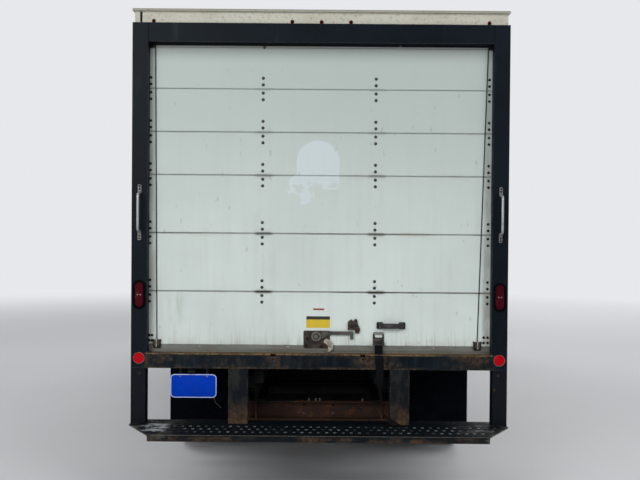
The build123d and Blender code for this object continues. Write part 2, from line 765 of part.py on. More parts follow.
with BuildPart() as box_rails:
    for outward in (-1, 1):
        with BuildSketch(Plane.XZ.offset(-box_front_y + corner_post_size)):
            with BuildLine():
                Polyline(
                    (outward * skin_half, skin_top - edge_rail_size),
                    (outward * body_half, skin_top - edge_rail_size),
                    (outward * body_half, skin_top),
                    (outward * skin_half, roof_top),
                    (outward * (body_half - edge_rail_size), roof_top),
                    (outward * (body_half - edge_rail_size), skin_top),
                    (outward * skin_half, skin_top),
                    close=True,
                )
            make_face()
            with BuildLine():
                Polyline(
                    (outward * skin_half, bearer_bottom),
                    (outward * (skin_half - 40), bearer_bottom),
                    (outward * (skin_half - 40), bearer_bottom - edge_rail_wall),
                    (outward * body_half, bearer_bottom - edge_rail_wall),
                    (outward * body_half, bearer_bottom + base_rail_height),
                    (outward * skin_half, bearer_bottom + base_rail_height),
                    close=True,
                )
            make_face()
        extrude(amount=box_front_y - corner_post_size - deck_y[0])
        with BuildSketch(Plane.XY.offset(bearer_bottom - edge_rail_wall)) as corner_post:
            with Locations((outward * (body_half - corner_post_size / 2),
                            box_front_y - corner_post_size / 2)):
                Rectangle(corner_post_size, corner_post_size)
            outer_corner = corner_post.vertices().sort_by(Axis.Y)[-2:].sort_by(Axis.X)
            fillet(outer_corner[-1] if outward > 0 else outer_corner[0], corner_post_size - 4)
        extrude(amount=roof_bottom - bearer_bottom + edge_rail_wall)
keep(box_rails, "box_rails")

# Rear frame, roll-up door and what is on them

rear_plane = Plane.XZ.offset(-box_rear_y)
with BuildPart() as rear_frame:
    with BuildSketch(rear_plane):
        with Locations((0, (sill_bottom + header_top) / 2)):
            Rectangle(body_width, header_top - sill_bottom)
        with Locations((0, (floor_height + header_bottom) / 2)):
            Rectangle(2 * opening_half, header_bottom - floor_height, mode=Mode.SUBTRACT)
    extrude(amount=-rear_frame_depth)
    block((-door_half - door_clearance, door_half + door_clearance),
          (box_rear_y + door_recess - 10, deck_y[0]), (floor_height, door_top + door_clearance),
          mode=Mode.SUBTRACT)
    block((-opening_half - sill_lap, opening_half + sill_lap), (box_rear_y - sill_proud, box_rear_y),
          (sill_bottom, floor_height))
    for x in striker_xs:
        block((x - striker_size[0] / 2, x + striker_size[0] / 2),
              (box_rear_y - sill_proud, box_rear_y + 14),
              (floor_height - striker_size[1], floor_height), mode=Mode.SUBTRACT)
    with BuildSketch(rear_plane):
        with Locations((-lamp_x, tail_lamp_z), (lamp_x, tail_lamp_z)):
            SlotOverall(tail_lamp_size[1] + 2 * lamp_rim, tail_lamp_size[0] + 2 * lamp_rim,
                        rotation=90)
    extrude(amount=-lamp_recess, mode=Mode.SUBTRACT)
keep(rear_frame, "rear_frame")

with BuildPart() as roof_cap:
    block((-body_half + 12, body_half - 12), (box_rear_y + cap_recess, deck_y[0]),
          (header_top, roof_top - cap_lip))
    block((-body_half, body_half), (box_rear_y - 4, deck_y[0]), (roof_top - cap_lip, roof_top))
    fillet(roof_cap.edges().filter_by(Axis.X).group_by(Axis.Z)[-1].sort_by(Axis.Y)[0], cap_lip / 2)
keep(roof_cap, "roof_cap")

with BuildPart() as rear_lamps:
    with BuildSketch(rear_plane.offset(-lamp_recess)):
        with Locations((-lamp_x, tail_lamp_z), (lamp_x, tail_lamp_z)):
            SlotOverall(tail_lamp_size[1], tail_lamp_size[0], rotation=90)
    extrude(amount=lamp_recess + tail_lamp_proud)
    fillet(rear_lamps.faces().group_by(Axis.Y)[0].edges(), tail_lamp_proud * 0.75)
    with BuildSketch(rear_plane):
        with Locations((-lamp_x, reflector_z), (lamp_x, reflector_z)):
            Circle(reflector_radius)
    extrude(amount=6, taper=30)
    with BuildSketch(Plane.XZ.offset(-box_rear_y - cap_recess)):
        with Locations(*((x, header_top + top_lamp_radius + 1) for x in top_lamp_xs)):
            Circle(top_lamp_radius)
    extrude(amount=10, taper=35)
keep(rear_lamps, "rear_lamps")

with BuildPart() as roll_door:
    z = door_bottom_z
    for height in panel_heights:
        with BuildSketch(Plane.YZ.offset(-door_half)):
            low, high, lap = z + panel_seam, z + height, panel_y[0] + panel_thickness / 2
            with BuildLine():
                Polyline(
                    (panel_y[0], low + seam_bevel), (panel_y[0] + seam_bevel, low), (lap, low),
                    (lap, z), (panel_y[1], z), (panel_y[1], high),
                    (panel_y[0] + seam_bevel, high), (panel_y[0], high - seam_bevel),
                    close=True,
                )
            make_face()
        extrude(amount=2 * door_half)
        z += height
keep(roll_door, "roll_door")

with BuildPart() as door_bottom_rail:
    block((-door_half, door_half), (panel_y[0], panel_y[1] + 3), (floor_height + 14, door_bottom_z))
    block((-door_half, door_half), (panel_y[0] + 5, panel_y[1]), (floor_height, floor_height + 14))
keep(door_bottom_rail, "door_bottom_rail")


def door_plane(proud=0.0):
    """The door's outer face, or a plane so far out of it, with local y up from the load floor."""
    return Plane(origin=(0, panel_y[0] - proud, floor_height), x_dir=(1, 0, 0), z_dir=(0, -1, 0))


cable_y = panel_y[0] - cable_radius - 0.2
cable_foot_z = floor_height + cable_anchor_rise
with BuildPart() as lift_cables:
    for foot_x, head_x in cable_ends:
        rod((foot_x, cable_y, cable_foot_z + running_gap), (head_x, cable_y, door_top), cable_radius)
keep(lift_cables, "lift_cables")

# The latch: a lever cast in one with its round boss, a claw that hooks the sill, and the plate
# that carries both. A keeper holds the lever's end, and the handle and strap buckle stand beside it.
lever_low = latch_rise + lever_radius - lever_depth
lever_end_x = latch_x + lever_reach
with BuildPart() as door_hardware:
    for foot_x, _ in cable_ends:
        with BuildSketch(door_plane()):
            with Locations((foot_x, cable_anchor_rise - cable_anchor[1] / 2)):
                RectangleRounded(*cable_anchor, 8)
        extrude(amount=4)
        with BuildSketch(door_plane(4)):
            with Locations((foot_x, cable_anchor_rise - 30)):
                Circle(15)
            with Locations((foot_x, cable_anchor_rise - 15)):
                Rectangle(30, 30)
        extrude(amount=12)

    with BuildSketch(door_plane()):
        with Locations(latch_plate_middle):
            RectangleRounded(*latch_plate_size, 8)
    extrude(amount=plate_thickness)
    with BuildSketch(door_plane(plate_thickness)):
        with Locations((latch_x, latch_rise)):
            Circle(lever_radius)
        with BuildLine():
            FilletPolyline(
                (latch_x, latch_rise + lever_radius), (lever_end_x, latch_rise + lever_radius),
                (lever_end_x, latch_rise + lever_radius - lever_drop),
                (lever_end_x - 20, latch_rise + lever_radius - lever_drop),
                (lever_end_x - 20, lever_low), (latch_x + 92, lever_low),
                (latch_x + 26, latch_rise - 22), (latch_x, latch_rise), radius=5, close=True,
            )
        make_face()
    extrude(amount=lever_thickness)
    chamfer(door_hardware.faces().sort_by(Axis.Y)[0].edges(), 2.5)
    with BuildSketch(door_plane(plate_thickness + lever_thickness)):
        with Locations((latch_x, latch_rise)):
            Circle(20)
            Circle(13, mode=Mode.SUBTRACT)
        with Locations((latch_x + 145, latch_rise + lever_radius - lever_depth / 2)):
            Rectangle(150, 6)
    extrude(amount=-4, mode=Mode.SUBTRACT)
    with BuildSketch(door_plane(plate_thickness)):
        with BuildLine():
            Line((31, 82), (42, 95))
            ThreePointArc((42, 95), (76, 80), (92, 52))
            ThreePointArc((92, 52), (84, 24), (50, 8))
            ThreePointArc((50, 8), (59, 24), (57, 45))
            ThreePointArc((57, 45), (47, 60), (31, 68))
            Line((31, 68), (31, 82))
        make_face()
    extrude(amount=12)

    with BuildSketch(door_plane()):
        with BuildLine():
            FilletPolyline(
                (lever_end_x - 36, 152), (lever_end_x - 36, 206), (lever_end_x - 14, 222),
                (lever_end_x + 2, 212), (lever_end_x + 12, 226), (lever_end_x + 26, 222),
                (lever_end_x + 29, 196), (lever_end_x + 46, 158), (lever_end_x + 40, 128),
                (lever_end_x + 14, 128), (lever_end_x + 12, 152), radius=5, close=True,
            )
        make_face()
    extrude(amount=keeper_thickness, taper=8)

    for end in (-1, 1):
        with BuildSketch(door_plane()):
            with Locations((handle_x + end * (handle_length - handle_pad[0]) / 2, handle_rise)):
                RectangleRounded(*handle_pad, 8)
        extrude(amount=6)
    grip_half = (handle_length - handle_pad[0]) / 2
    with BuildSketch(Plane.XY.offset(floor_height + handle_rise - handle_height / 2)):
        with BuildLine():
            Polyline(
                (handle_x - grip_half - 12, panel_y[0] - 5),
                (handle_x - grip_half - 2, panel_y[0] - handle_reach),
                (handle_x + grip_half + 2, panel_y[0] - handle_reach),
                (handle_x + grip_half + 12, panel_y[0] - 5),
                (handle_x + grip_half + 4, panel_y[0] - 5),
                (handle_x + grip_half - 4, panel_y[0] - handle_reach + handle_wall),
                (handle_x - grip_half + 4, panel_y[0] - handle_reach + handle_wall),
                (handle_x - grip_half - 4, panel_y[0] - 5), close=True,
            )
        make_face()
    extrude(amount=handle_height)

    with BuildSketch(door_plane()):
        with Locations((strap_x, buckle_rise)):
            RectangleRounded(*buckle_size, 12)
        with Locations((strap_x, buckle_rise + 17)):
            RectangleRounded(50, 18, 6, mode=Mode.SUBTRACT)
    extrude(amount=plate_thickness)
    with BuildSketch(door_plane(plate_thickness)):
        for lean in (-40, 40):
            with Locations((strap_x, buckle_rise - 14)):
                Rectangle(54, 9, rotation=lean)
        with Locations((strap_x, buckle_rise + 33)):
            SlotOverall(54, 8)
    extrude(amount=5)
    for x_ends in both(buckle_size[0] / 2 - 9, buckle_size[0] / 2):
        with BuildSketch(Plane.YZ.offset(strap_x + x_ends[0])):
            with BuildLine():
                Polyline(
                    (panel_y[0] - plate_thickness, floor_height + buckle_rise - 20),
                    (panel_y[0] - buckle_bar_reach - 9, floor_height + buckle_rise - 27),
                    (panel_y[0] - buckle_bar_reach - 9, floor_height + buckle_rise - 42),
                    (panel_y[0] - plate_thickness, floor_height + buckle_rise - 42), close=True,
                )
            make_face()
        extrude(amount=x_ends[1] - x_ends[0])
    buckle_bar_z = floor_height + buckle_rise - buckle_size[1] / 2 + 7
    rod((strap_x - 30, panel_y[0] - buckle_bar_reach, buckle_bar_z),
        (strap_x + 30, panel_y[0] - buckle_bar_reach, buckle_bar_z), buckle_bar_radius)
keep(door_hardware, "door_hardware")

# The strap hangs from the buckle's bar, over the sill, and its end lies on the step
strap_top = (panel_y[0] - buckle_bar_reach, buckle_bar_z - buckle_bar_radius - running_gap)
with BuildPart() as pull_strap:
    with BuildLine(Plane.YZ.offset(strap_x)) as strap_route:
        FilletPolyline(
            strap_top, (strap_top[0], floor_height + 18),
            (box_rear_y - sill_proud + 2, floor_height + 6),
            (box_rear_y - sill_proud - 8, floor_height - 8), (box_rear_y - 20, bumper_top + 223),
            (box_rear_y - 30, bumper_top + 14), (box_rear_y - 170, bumper_top + 1.5),
            radius=[6, 6, 6, 60, 12],
        )
    with BuildSketch(Plane(origin=(strap_x, *strap_top), x_dir=(1, 0, 0), z_dir=(0, 0, -1))):
        Rectangle(strap_width, strap_thickness)
    sweep(path=strap_route.line)
keep(pull_strap, "pull_strap")

with BuildPart() as grab_handles:
    for x in (-lamp_x, lamp_x):
        pad_zs = [grab_z + end * (grab_length - grab_pad[1]) / 2 for end in (-1, 1)]
        with BuildSketch(rear_plane):
            with Locations(*((x, z) for z in pad_zs)):
                RectangleRounded(*grab_pad, 8)
        extrude(amount=grab_pad_thickness)
        with BuildLine() as grip:
            FilletPolyline(
                (x, box_rear_y - grip_root, pad_zs[0] + 18), (x, box_rear_y - grab_reach, pad_zs[0] + 36),
                (x, box_rear_y - grab_reach, pad_zs[1] - 36), (x, box_rear_y - grip_root, pad_zs[1] - 18),
                radius=26,
            )
        with BuildSketch(Plane(origin=grip.line @ 0, z_dir=grip.line % 0)) as grip_end:
            Circle(grab_bar_radius)
        sweep(grip_end.sketch, path=grip.line)
keep(grab_handles, "grab_handles")

# Step bumper, its posts and the mud flaps


def bumper_outline(inset):
    """The bumper's plan: square ends by the posts, then tapering to its rear edge."""
    with BuildLine() as outline:
        Polyline(
            (-body_half + inset, box_rear_y + rear_frame_depth - inset),
            (-body_half + inset, box_rear_y - bumper_square_end + inset / 2),
            (-bumper_rear_half + inset / 2, box_rear_y - bumper_depth + inset),
            (bumper_rear_half - inset / 2, box_rear_y - bumper_depth + inset),
            (body_half - inset, box_rear_y - bumper_square_end + inset / 2),
            (body_half - inset, box_rear_y + rear_frame_depth - inset),
            close=True,
        )
    make_face(outline.line)


with BuildPart() as step_bumper:
    with BuildSketch(Plane.XY.offset(bumper_top - bumper_thickness)):
        bumper_outline(0)
    extrude(amount=bumper_thickness)
    with BuildSketch(Plane.XY.offset(bumper_top - bumper_thickness)):
        bumper_outline(bumper_wall)
    extrude(amount=bumper_thickness - bumper_wall, mode=Mode.SUBTRACT)
    for x_ends in both(bumper_rear_half, body_half):
        block(x_ends, (box_rear_y - bumper_depth, box_rear_y + rear_frame_depth),
              (bumper_top - bumper_thickness, bumper_top - bumper_wall), mode=Mode.SUBTRACT)
keep(step_bumper, "step_bumper")

with BuildPart() as bumper_posts:
    for middle, width, depth in (
        (-body_half + lower_post_width / 2, lower_post_width, lower_post_depth),
        (-upright_x, upright_width, upright_depth),
        (upright_x, upright_width, upright_depth),
        (body_half - lower_post_width / 2, lower_post_width, lower_post_depth),
    ):
        block((middle - width / 2, middle + width / 2), (box_rear_y, box_rear_y + depth),
              (bumper_top, sill_bottom))
        block((middle - width / 2 + post_wall, middle + width / 2 - post_wall),
              (box_rear_y + post_wall, box_rear_y + depth), (bumper_top, sill_bottom),
              mode=Mode.SUBTRACT)
keep(bumper_posts, "bumper_posts")

with BuildPart() as mud_flaps:
    for x_ends in both(flap_inner_x, flap_outer_x):
        block(x_ends, (flap_y - flap_thickness / 2, flap_y + flap_thickness / 2),
              (flap_bottom, flap_top))
    fillet(mud_flaps.edges().filter_by(Axis.Y).group_by(Axis.Z)[0], 30)
keep(mud_flaps, "mud_flaps")

# Cab: one outer form, and the same form further in, give every panel its curve


def cab_form(inset, bottom):
    """The cab and nose as one solid: a side outline, a plan and a cross section, intersected."""
    reach = cab_half + 200
    rear, front = cab_rear_y, nose_y
    with BuildPart() as form:
        with BuildSketch(Plane.YZ.offset(-reach)) as side_view:
            with BuildLine():
                Polyline(
                    (rear, bottom), (rear, cab_roof), (screen_top_y, cab_roof),
                    (screen_foot_y, belt_height + screen_foot_rise), (scuttle_y, belt_height - 8),
                    (front - 90, hood_front_z), (front, hood_front_z - 130), (front, bottom),
                    close=True,
                )
            make_face()
            corners = side_view.vertices()
            fillet(corners.filter_by(lambda v: abs(v.Y - screen_top_y) < 1 and v.Z > belt_height), 260)
            corners = side_view.vertices()
            fillet(corners.filter_by(lambda v: abs(v.Y - front + 90) < 1), 110)
            if inset:
                offset(amount=-inset)
        extrude(amount=2 * reach)
        with BuildSketch(Plane.XZ.offset(-front - 100)) as cross_section:
            with BuildLine():
                Polyline(
                    (-cab_half + sill_tuck, bottom), (-cab_half, rocker_bottom + 160),
                    (-cab_half, belt_height), (-cab_half + side_lean, cab_roof),
                    (cab_half - side_lean, cab_roof), (cab_half, belt_height),
                    (cab_half, rocker_bottom + 160), (cab_half - sill_tuck, bottom), close=True,
                )
            make_face()
            fillet(cross_section.vertices().group_by(Axis.Z)[-1], 110)
            if inset:
                offset(amount=-inset)
        extrude(amount=front - rear + 200, mode=Mode.INTERSECT)
        with BuildSketch() as plan:
            with BuildLine():
                Polyline(
                    (-cab_half, rear), (-cab_half, door_front_y), (nose_taper - cab_half, front),
                    (cab_half - nose_taper, front), (cab_half, door_front_y), (cab_half, rear),
                    close=True,
                )
            make_face()
            fillet(plan.vertices().group_by(Axis.Y)[-1], 180)
            if inset:
                offset(amount=-inset)
        extrude(amount=cab_roof + 100, mode=Mode.INTERSECT)
    return form.part


def skin(wall):
    """The form's outer skin, a wall thick, open below."""
    with BuildPart() as hollow:
        add(cab_form(0, rocker_bottom))
        add(cab_form(wall, rocker_bottom - 200), mode=Mode.SUBTRACT)
    return hollow.part


def side_region(points, grow, side, taper=0.0, mode=Mode.INTERSECT):
    """Keeps or cuts what lies behind a side outline, from outside the cab towards its middle."""
    start = cab_half + 60
    with BuildSketch(Plane((side * start, 0, 0), x_dir=(0, -side, 0), z_dir=(-side, 0, 0))) as outline:
        with BuildLine():
            FilletPolyline(*((-side * y, z) for y, z in points), radius=36, close=True)
        make_face()
        if grow:
            offset(amount=grow)
    extrude(outline.sketch, amount=start - 500, taper=taper, mode=mode)


def arch(mode=Mode.SUBTRACT):
    """The two round arches over the front wheels, cut from the open part."""
    for x_ends in both(520.0, cab_half + 60):
        rod((x_ends[0], front_axle_y, tyre_radius), (x_ends[1], front_axle_y, tyre_radius),
            arch_radius, mode=mode)


def screen_region(shrink, mode):
    """Keeps or cuts what lies behind the windscreen's outline."""
    with BuildSketch(Plane.XZ.offset(-hood_rear_y)) as outline:
        with BuildLine():
            FilletPolyline(
                (-screen_half, belt_height + window_rise), (95 - screen_half, cab_roof - 115),
                (screen_half - 95, cab_roof - 115), (screen_half, belt_height + window_rise),
                radius=60, close=True,
            )
        make_face()
        if shrink:
            offset(amount=-shrink)
    extrude(outline.sketch, amount=900, mode=mode)


pillar_slope = (screen_foot_y - screen_top_y) / (upper_height - screen_foot_rise)


def pillar_y(z, back):
    """Where a line along the windscreen, so far behind it, is at a height."""
    return screen_foot_y - back - (z - belt_height - screen_foot_rise) * pillar_slope


door_outline = (
    (door_front_y, door_bottom),
    (door_front_y, belt_height + 210),
    (pillar_y(cab_roof - door_top_drop, 110), cab_roof - door_top_drop),
    (door_rear_y, cab_roof - door_top_drop),
    (door_rear_y, door_bottom),
)
window_outline = (
    (door_front_y - 80, belt_height + window_rise),
    (door_front_y - 80, belt_height + 170),
    (pillar_y(cab_roof - window_drop, 210), cab_roof - window_drop),
    (door_rear_y + 70, cab_roof - window_drop),
    (door_rear_y + 70, belt_height + window_rise),
)
hinge_y = door_front_y - 12
hinge_x = cab_half - 8
hinge_zs = (door_bottom + 140, belt_height - 110)
hinge_half = 30.0
hinge_pin_radius = 3.5
recess_depth = 24.0
hinge_knuckle = 7.0
cavity_half = cab_half - cab_wall - 12
wide = (-cab_half - 60, cab_half + 60)
cab_skin = skin(cab_wall)
wing_skin = skin(wing_wall)

with BuildPart() as cowl:
    add(cab_skin)
    block(wide, (post_front_y - 1, hood_rear_y - 10), (belt_height - cowl_depth, cab_roof),
          Mode.INTERSECT)

with BuildPart() as cab_shell:
    add(cab_skin)
    block(wide, (cab_rear_y - 60, post_front_y), (rocker_bottom - 20, cab_roof + 20), Mode.INTERSECT)
    add(cowl.part)
    for side, _ in sides:
        side_region(door_outline, panel_gap, side, taper=door_taper, mode=Mode.SUBTRACT)
    screen_region(0, Mode.SUBTRACT)
    block((-cavity_half, cavity_half), (cab_rear_y - 10, post_front_y + 10),
          (rocker_bottom - 20, rail_top), Mode.SUBTRACT)
    block((40 - cab_half, cab_half - 40), (cab_rear_y + 20, door_rear_y - 40), (rail_top, cab_floor))
    block((-cavity_half, cavity_half), (cab_rear_y + 20, door_front_y), (rail_top, cab_floor))
    with BuildSketch(Plane.YZ.offset(-cavity_half)):
        with BuildLine():
            Polyline(
                (door_front_y - 30, cab_floor), (door_front_y, rail_top),
                (hood_rear_y - 40, belt_height - cowl_depth),
                (hood_rear_y - 70, belt_height - cowl_depth), close=True,
            )
        make_face()
    extrude(amount=2 * cavity_half)
    arch()
    for side, _ in sides:
        for z in hinge_zs:
            lug = (z - hinge_half + 5, z + hinge_half - 5)
            block(sorted((side * (hinge_x - 22), side * (hinge_x - 7))), (hinge_y, post_front_y), lug)
            block(sorted((side * (hinge_x - 10), side * hinge_x)), (hinge_y - 7, hinge_y + 5), lug)
            rod((side * hinge_x, hinge_y, lug[0]), (side * hinge_x, hinge_y, lug[1]), hinge_knuckle)
            rod((side * hinge_x, hinge_y, z - hinge_half), (side * hinge_x, hinge_y, z + hinge_half),
                hinge_pin_radius + running_gap, mode=Mode.SUBTRACT)
keep(cab_shell, "cab_shell")

channel_y = (hood_rear_y + 10, hood_front_y - 20)
with BuildPart() as hood_channel:
    for x_ends in both(hood_half - 40, hood_half + panel_gap):
        block(x_ends, channel_y, (belt_height - 290, belt_height))
    for x_ends in both(hood_half + panel_gap, hood_half + panel_gap + 8):
        block(x_ends, channel_y, (belt_height - 290, belt_height + 60))
    add(cab_form(wing_wall + running_gap, rocker_bottom - 200), mode=Mode.INTERSECT)
    add(cab_form(wing_wall + running_gap + 12, rocker_bottom - 400), mode=Mode.SUBTRACT)
    for x_ends in both(hood_half + panel_gap, hood_half + panel_gap + 8):
        block(x_ends, channel_y, (belt_height - 290, belt_height + 60))
    add(cab_form(wing_wall / 2, rocker_bottom - 400), mode=Mode.INTERSECT)
    block(wide, (hood_rear_y, hood_front_y), (belt_height - 390, belt_height - 200), mode=Mode.SUBTRACT)

with BuildPart() as front_wings:
    add(wing_skin)
    block(wide, (post_front_y + running_gap, nose_y + 10), (rocker_bottom - 20, belt_height + 40),
          Mode.INTERSECT)
    block((-hood_half - panel_gap, hood_half + panel_gap), (post_front_y, nose_y + 10),
          (rocker_bottom - 20, belt_height + 60), Mode.SUBTRACT)
    add(hood_channel.part)
    block(wide, (post_front_y, hood_rear_y - 4), (belt_height - cowl_depth - 6, belt_height + 60),
          Mode.SUBTRACT)
    block(wide, (front_axle_y + 430, nose_y + 10), (rocker_bottom - 20, bumper_high + 22),
          Mode.SUBTRACT)
    arch()
keep(front_wings, "front_wings")

with BuildPart() as hood:
    add(wing_skin)
    block((-hood_half, hood_half), (hood_rear_y, hood_front_y), (belt_height - 290, belt_height + 60),
          Mode.INTERSECT)
keep(hood, "hood")

with BuildPart() as grille:
    add(wing_skin)
    block((-hood_half - panel_gap, hood_half + panel_gap), (hood_front_y + 12, nose_y + 10),
          (bumper_high + 30, belt_height), Mode.INTERSECT)
    for number in range(grille_slot_count):
        z = grille_first_z + number * grille_pitch
        block((-grille_half, grille_half), (hood_front_y, nose_y + 10), (z, z + grille_slot),
              mode=Mode.SUBTRACT)
    for x_ends in both(*headlamp_x):
        block(x_ends, (hood_front_y, nose_y + 10), headlamp_z, Mode.SUBTRACT)
    for x in (-grille_half / 3, grille_half / 3):
        block((x - 5, x + 5), (nose_y - wing_wall, nose_y - wing_wall / 2),
              (grille_first_z - 10, grille_first_z + grille_slot_count * grille_pitch))
keep(grille, "grille")

with BuildPart() as headlamps:
    for x_ends in both(*headlamp_x):
        block(x_ends, (nose_y - headlamp_depth, nose_y + 10), headlamp_z)
    add(cab_form(4, rocker_bottom), mode=Mode.INTERSECT)
keep(headlamps, "headlamps")

with BuildPart() as glass_form:
    add(cab_form(glass_inset, rocker_bottom))
    add(cab_form(glass_inset + glass_thickness, rocker_bottom - 200), mode=Mode.SUBTRACT)

with BuildPart() as windscreen:
    add(glass_form.part)
    screen_region(running_gap, Mode.INTERSECT)
keep(windscreen, "windscreen")

for side, name in sides:
    with BuildPart() as door:
        add(cab_skin)
        side_region(door_outline, 0, side, taper=door_taper)
        side_region(window_outline, 0, side, mode=Mode.SUBTRACT)
        for z in hinge_zs:
            rod((side * hinge_x, hinge_y, z - hinge_half), (side * hinge_x, hinge_y, z + hinge_half),
                24.0, mode=Mode.SUBTRACT)
            rod((side * hinge_x, hinge_y, z - hinge_half - 8),
                (side * hinge_x, hinge_y, z + hinge_half + 8), hinge_pin_radius)
        recess = (door_rear_y + 60, door_rear_y + 240), (belt_height - 130, belt_height - 60)
        block(sorted((side * (cab_half - recess_depth), side * cab_half)), *recess, Mode.SUBTRACT)
        block(sorted((side * (cab_half - 10), side * (cab_half - 2))),
              (recess[0][0], recess[0][1]), (belt_height - 95, belt_height - 68))
    keep(door, f"door_{name}")

    with BuildPart() as door_glass:
        add(glass_form.part)
        side_region(window_outline, -running_gap, side)
    keep(door_glass, f"door_glass_{name}")

    with BuildPart() as mirror:
        arm_y = door_front_y - 70
        for z in (belt_height + 20, belt_height + 300):
            rod((side * (cab_half - 30), door_front_y - 130, z), (side * mirror_arm_x, arm_y, z), 11.0)
        rod((side * mirror_arm_x, arm_y, belt_height),
            (side * mirror_arm_x, arm_y, belt_height + 320), 13.0)
        with BuildSketch(Plane.XZ.offset(-door_front_y + 110)):
            with Locations((side * sum(mirror_x) / 2, belt_height + 175)):
                RectangleRounded(mirror_x[1] - mirror_x[0], 310, 36)
        extrude(amount=-50, taper=14)
        add(cab_form(0, rocker_bottom), mode=Mode.SUBTRACT)
    keep(mirror, f"mirror_{name}")

column_axis = Vector(0, -math.cos(math.radians(wheel_tilt)), math.sin(math.radians(wheel_tilt)))
column_foot = Vector(*wheel_centre) - column_axis * 300
wheel_plane = Plane(origin=wheel_centre, x_dir=(1, 0, 0), z_dir=column_axis)


def firewall_y(z):
    """Where the firewall's inner face is at a height."""
    share = (z - cab_floor) / (belt_rise - cowl_depth)
    return door_front_y - 30 + share * (hood_rear_y - 40 - door_front_y)


with BuildPart() as dashboard:
    with BuildSketch(Plane.YZ.offset(80 - cab_half)):
        with BuildLine():
            Polyline(
                (firewall_y(belt_height - cowl_depth), belt_height - cowl_depth),
                (door_front_y - 60, belt_height - 40), (door_front_y - 100, belt_height - 90),
                (door_front_y - 60, dash_low), (firewall_y(dash_low), dash_low), close=True,
            )
        make_face()
    extrude(amount=2 * (cab_half - 80))
    rod(column_foot, Vector(*wheel_centre) - column_axis * 40, 30.0)
    rod(column_foot, Vector(*wheel_centre) - column_axis * 22.3, 9.0)
keep(dashboard, "dashboard")

with BuildPart() as steering_wheel:
    with BuildSketch(Plane(origin=wheel_centre, x_dir=column_axis, z_dir=(1, 0, 0))):
        with Locations((0, wheel_ring)):
            Circle(14)
    revolve(axis=Axis(wheel_centre, column_axis))
    with BuildSketch(wheel_plane.offset(-22)):
        Circle(60)
        for angle in (-20, 200, 90 + 180):
            with Locations(Location((0, 0, 0), (0, 0, angle))):
                with Locations((wheel_ring / 2, 0)):
                    Rectangle(wheel_ring - 8, 34)
    extrude(amount=20)
    with BuildSketch(wheel_plane.offset(-38)):
        Circle(40)
        Circle(9 + running_gap, mode=Mode.SUBTRACT)
    extrude(amount=16)
keep(steering_wheel, "steering_wheel")

with BuildPart() as seats:
    for middle in (wheel_x, -wheel_x):
        block((middle - seat_width / 2 + 50, middle + seat_width / 2 - 50), (seat_y - 180, seat_y + 180),
              (cab_floor, cab_floor + 220))
        with BuildSketch(Plane.YZ.offset(middle - seat_width / 2)):
            with BuildLine():
                FilletPolyline(
                    (seat_y - 260, cab_floor + 220), (seat_y + 260, cab_floor + 220),
                    (seat_y + 260, cab_floor + 360), (seat_y - 130, cab_floor + 330),
                    (seat_y - 230, cab_floor + 980), (seat_y - 330, cab_floor + 980),
                    radius=40, close=True,
                )
            make_face()
        extrude(amount=seat_width)
keep(seats, "seats")

# Front bumper and the lamps high on the box's front

bumper_half = cab_half - 40
bumper_face_half = cab_half - 190
with BuildPart() as front_bumper:
    with BuildSketch(Plane.XY.offset(bumper_low)):
        with BuildLine():
            FilletPolyline(
                (-bumper_half, front_axle_y + 560), (-bumper_half, front_axle_y + 700),
                (-bumper_face_half, bumper_face_y), (bumper_face_half, bumper_face_y),
                (bumper_half, front_axle_y + 700), (bumper_half, front_axle_y + 560),
                (bumper_half - bumper_sheet, front_axle_y + 560),
                (bumper_half - bumper_sheet, front_axle_y + 697),
                (bumper_face_half - 4, bumper_face_y - bumper_sheet),
                (4 - bumper_face_half, bumper_face_y - bumper_sheet),
                (bumper_sheet - bumper_half, front_axle_y + 697),
                (bumper_sheet - bumper_half, front_axle_y + 560),
                radius=3, close=True,
            )
        make_face()
    extrude(amount=bumper_high - bumper_low)
    for x_ends in both(rail_outer_x - 55, rail_outer_x):
        block(x_ends, (rail_front_y, bumper_face_y - bumper_sheet), (rail_bottom + 10, rail_bottom + 80))
keep(front_bumper, "front_bumper")

with BuildPart() as marker_lamps:
    for x in top_lamp_xs:
        block((x - 32, x + 32), (box_front_y, box_front_y + 20), (roof_bottom - 60, roof_bottom - 36))
    fillet(marker_lamps.faces().group_by(Axis.Y)[-1].edges(), 8)
keep(marker_lamps, "marker_lamps")

os.makedirs("parts", exist_ok=True)
for label, piece in parts.items():
    export_step(piece, f"parts/{label}.step")
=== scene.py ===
import json
import math

import bmesh
import bpy
from mathutils import Matrix, Vector


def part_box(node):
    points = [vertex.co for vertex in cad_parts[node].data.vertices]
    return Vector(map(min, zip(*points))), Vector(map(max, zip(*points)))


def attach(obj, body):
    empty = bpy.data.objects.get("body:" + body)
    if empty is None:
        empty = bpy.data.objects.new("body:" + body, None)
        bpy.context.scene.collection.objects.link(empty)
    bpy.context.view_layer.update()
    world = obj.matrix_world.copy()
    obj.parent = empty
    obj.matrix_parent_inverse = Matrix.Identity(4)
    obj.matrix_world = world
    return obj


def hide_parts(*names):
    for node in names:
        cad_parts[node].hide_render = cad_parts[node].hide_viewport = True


# The dressed box truck. Metres, in the frame of the solids: +Z up, +Y forward, +X to the
# vehicle's right. What is measured off the solids is read from them just below.

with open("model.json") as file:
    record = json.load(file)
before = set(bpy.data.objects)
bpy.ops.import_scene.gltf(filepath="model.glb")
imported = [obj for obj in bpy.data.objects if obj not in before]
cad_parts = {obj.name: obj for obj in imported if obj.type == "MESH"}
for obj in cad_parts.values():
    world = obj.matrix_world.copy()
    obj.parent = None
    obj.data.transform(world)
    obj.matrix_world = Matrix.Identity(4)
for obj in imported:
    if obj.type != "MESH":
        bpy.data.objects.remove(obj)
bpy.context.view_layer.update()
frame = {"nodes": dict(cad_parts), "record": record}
nodes = frame["nodes"]

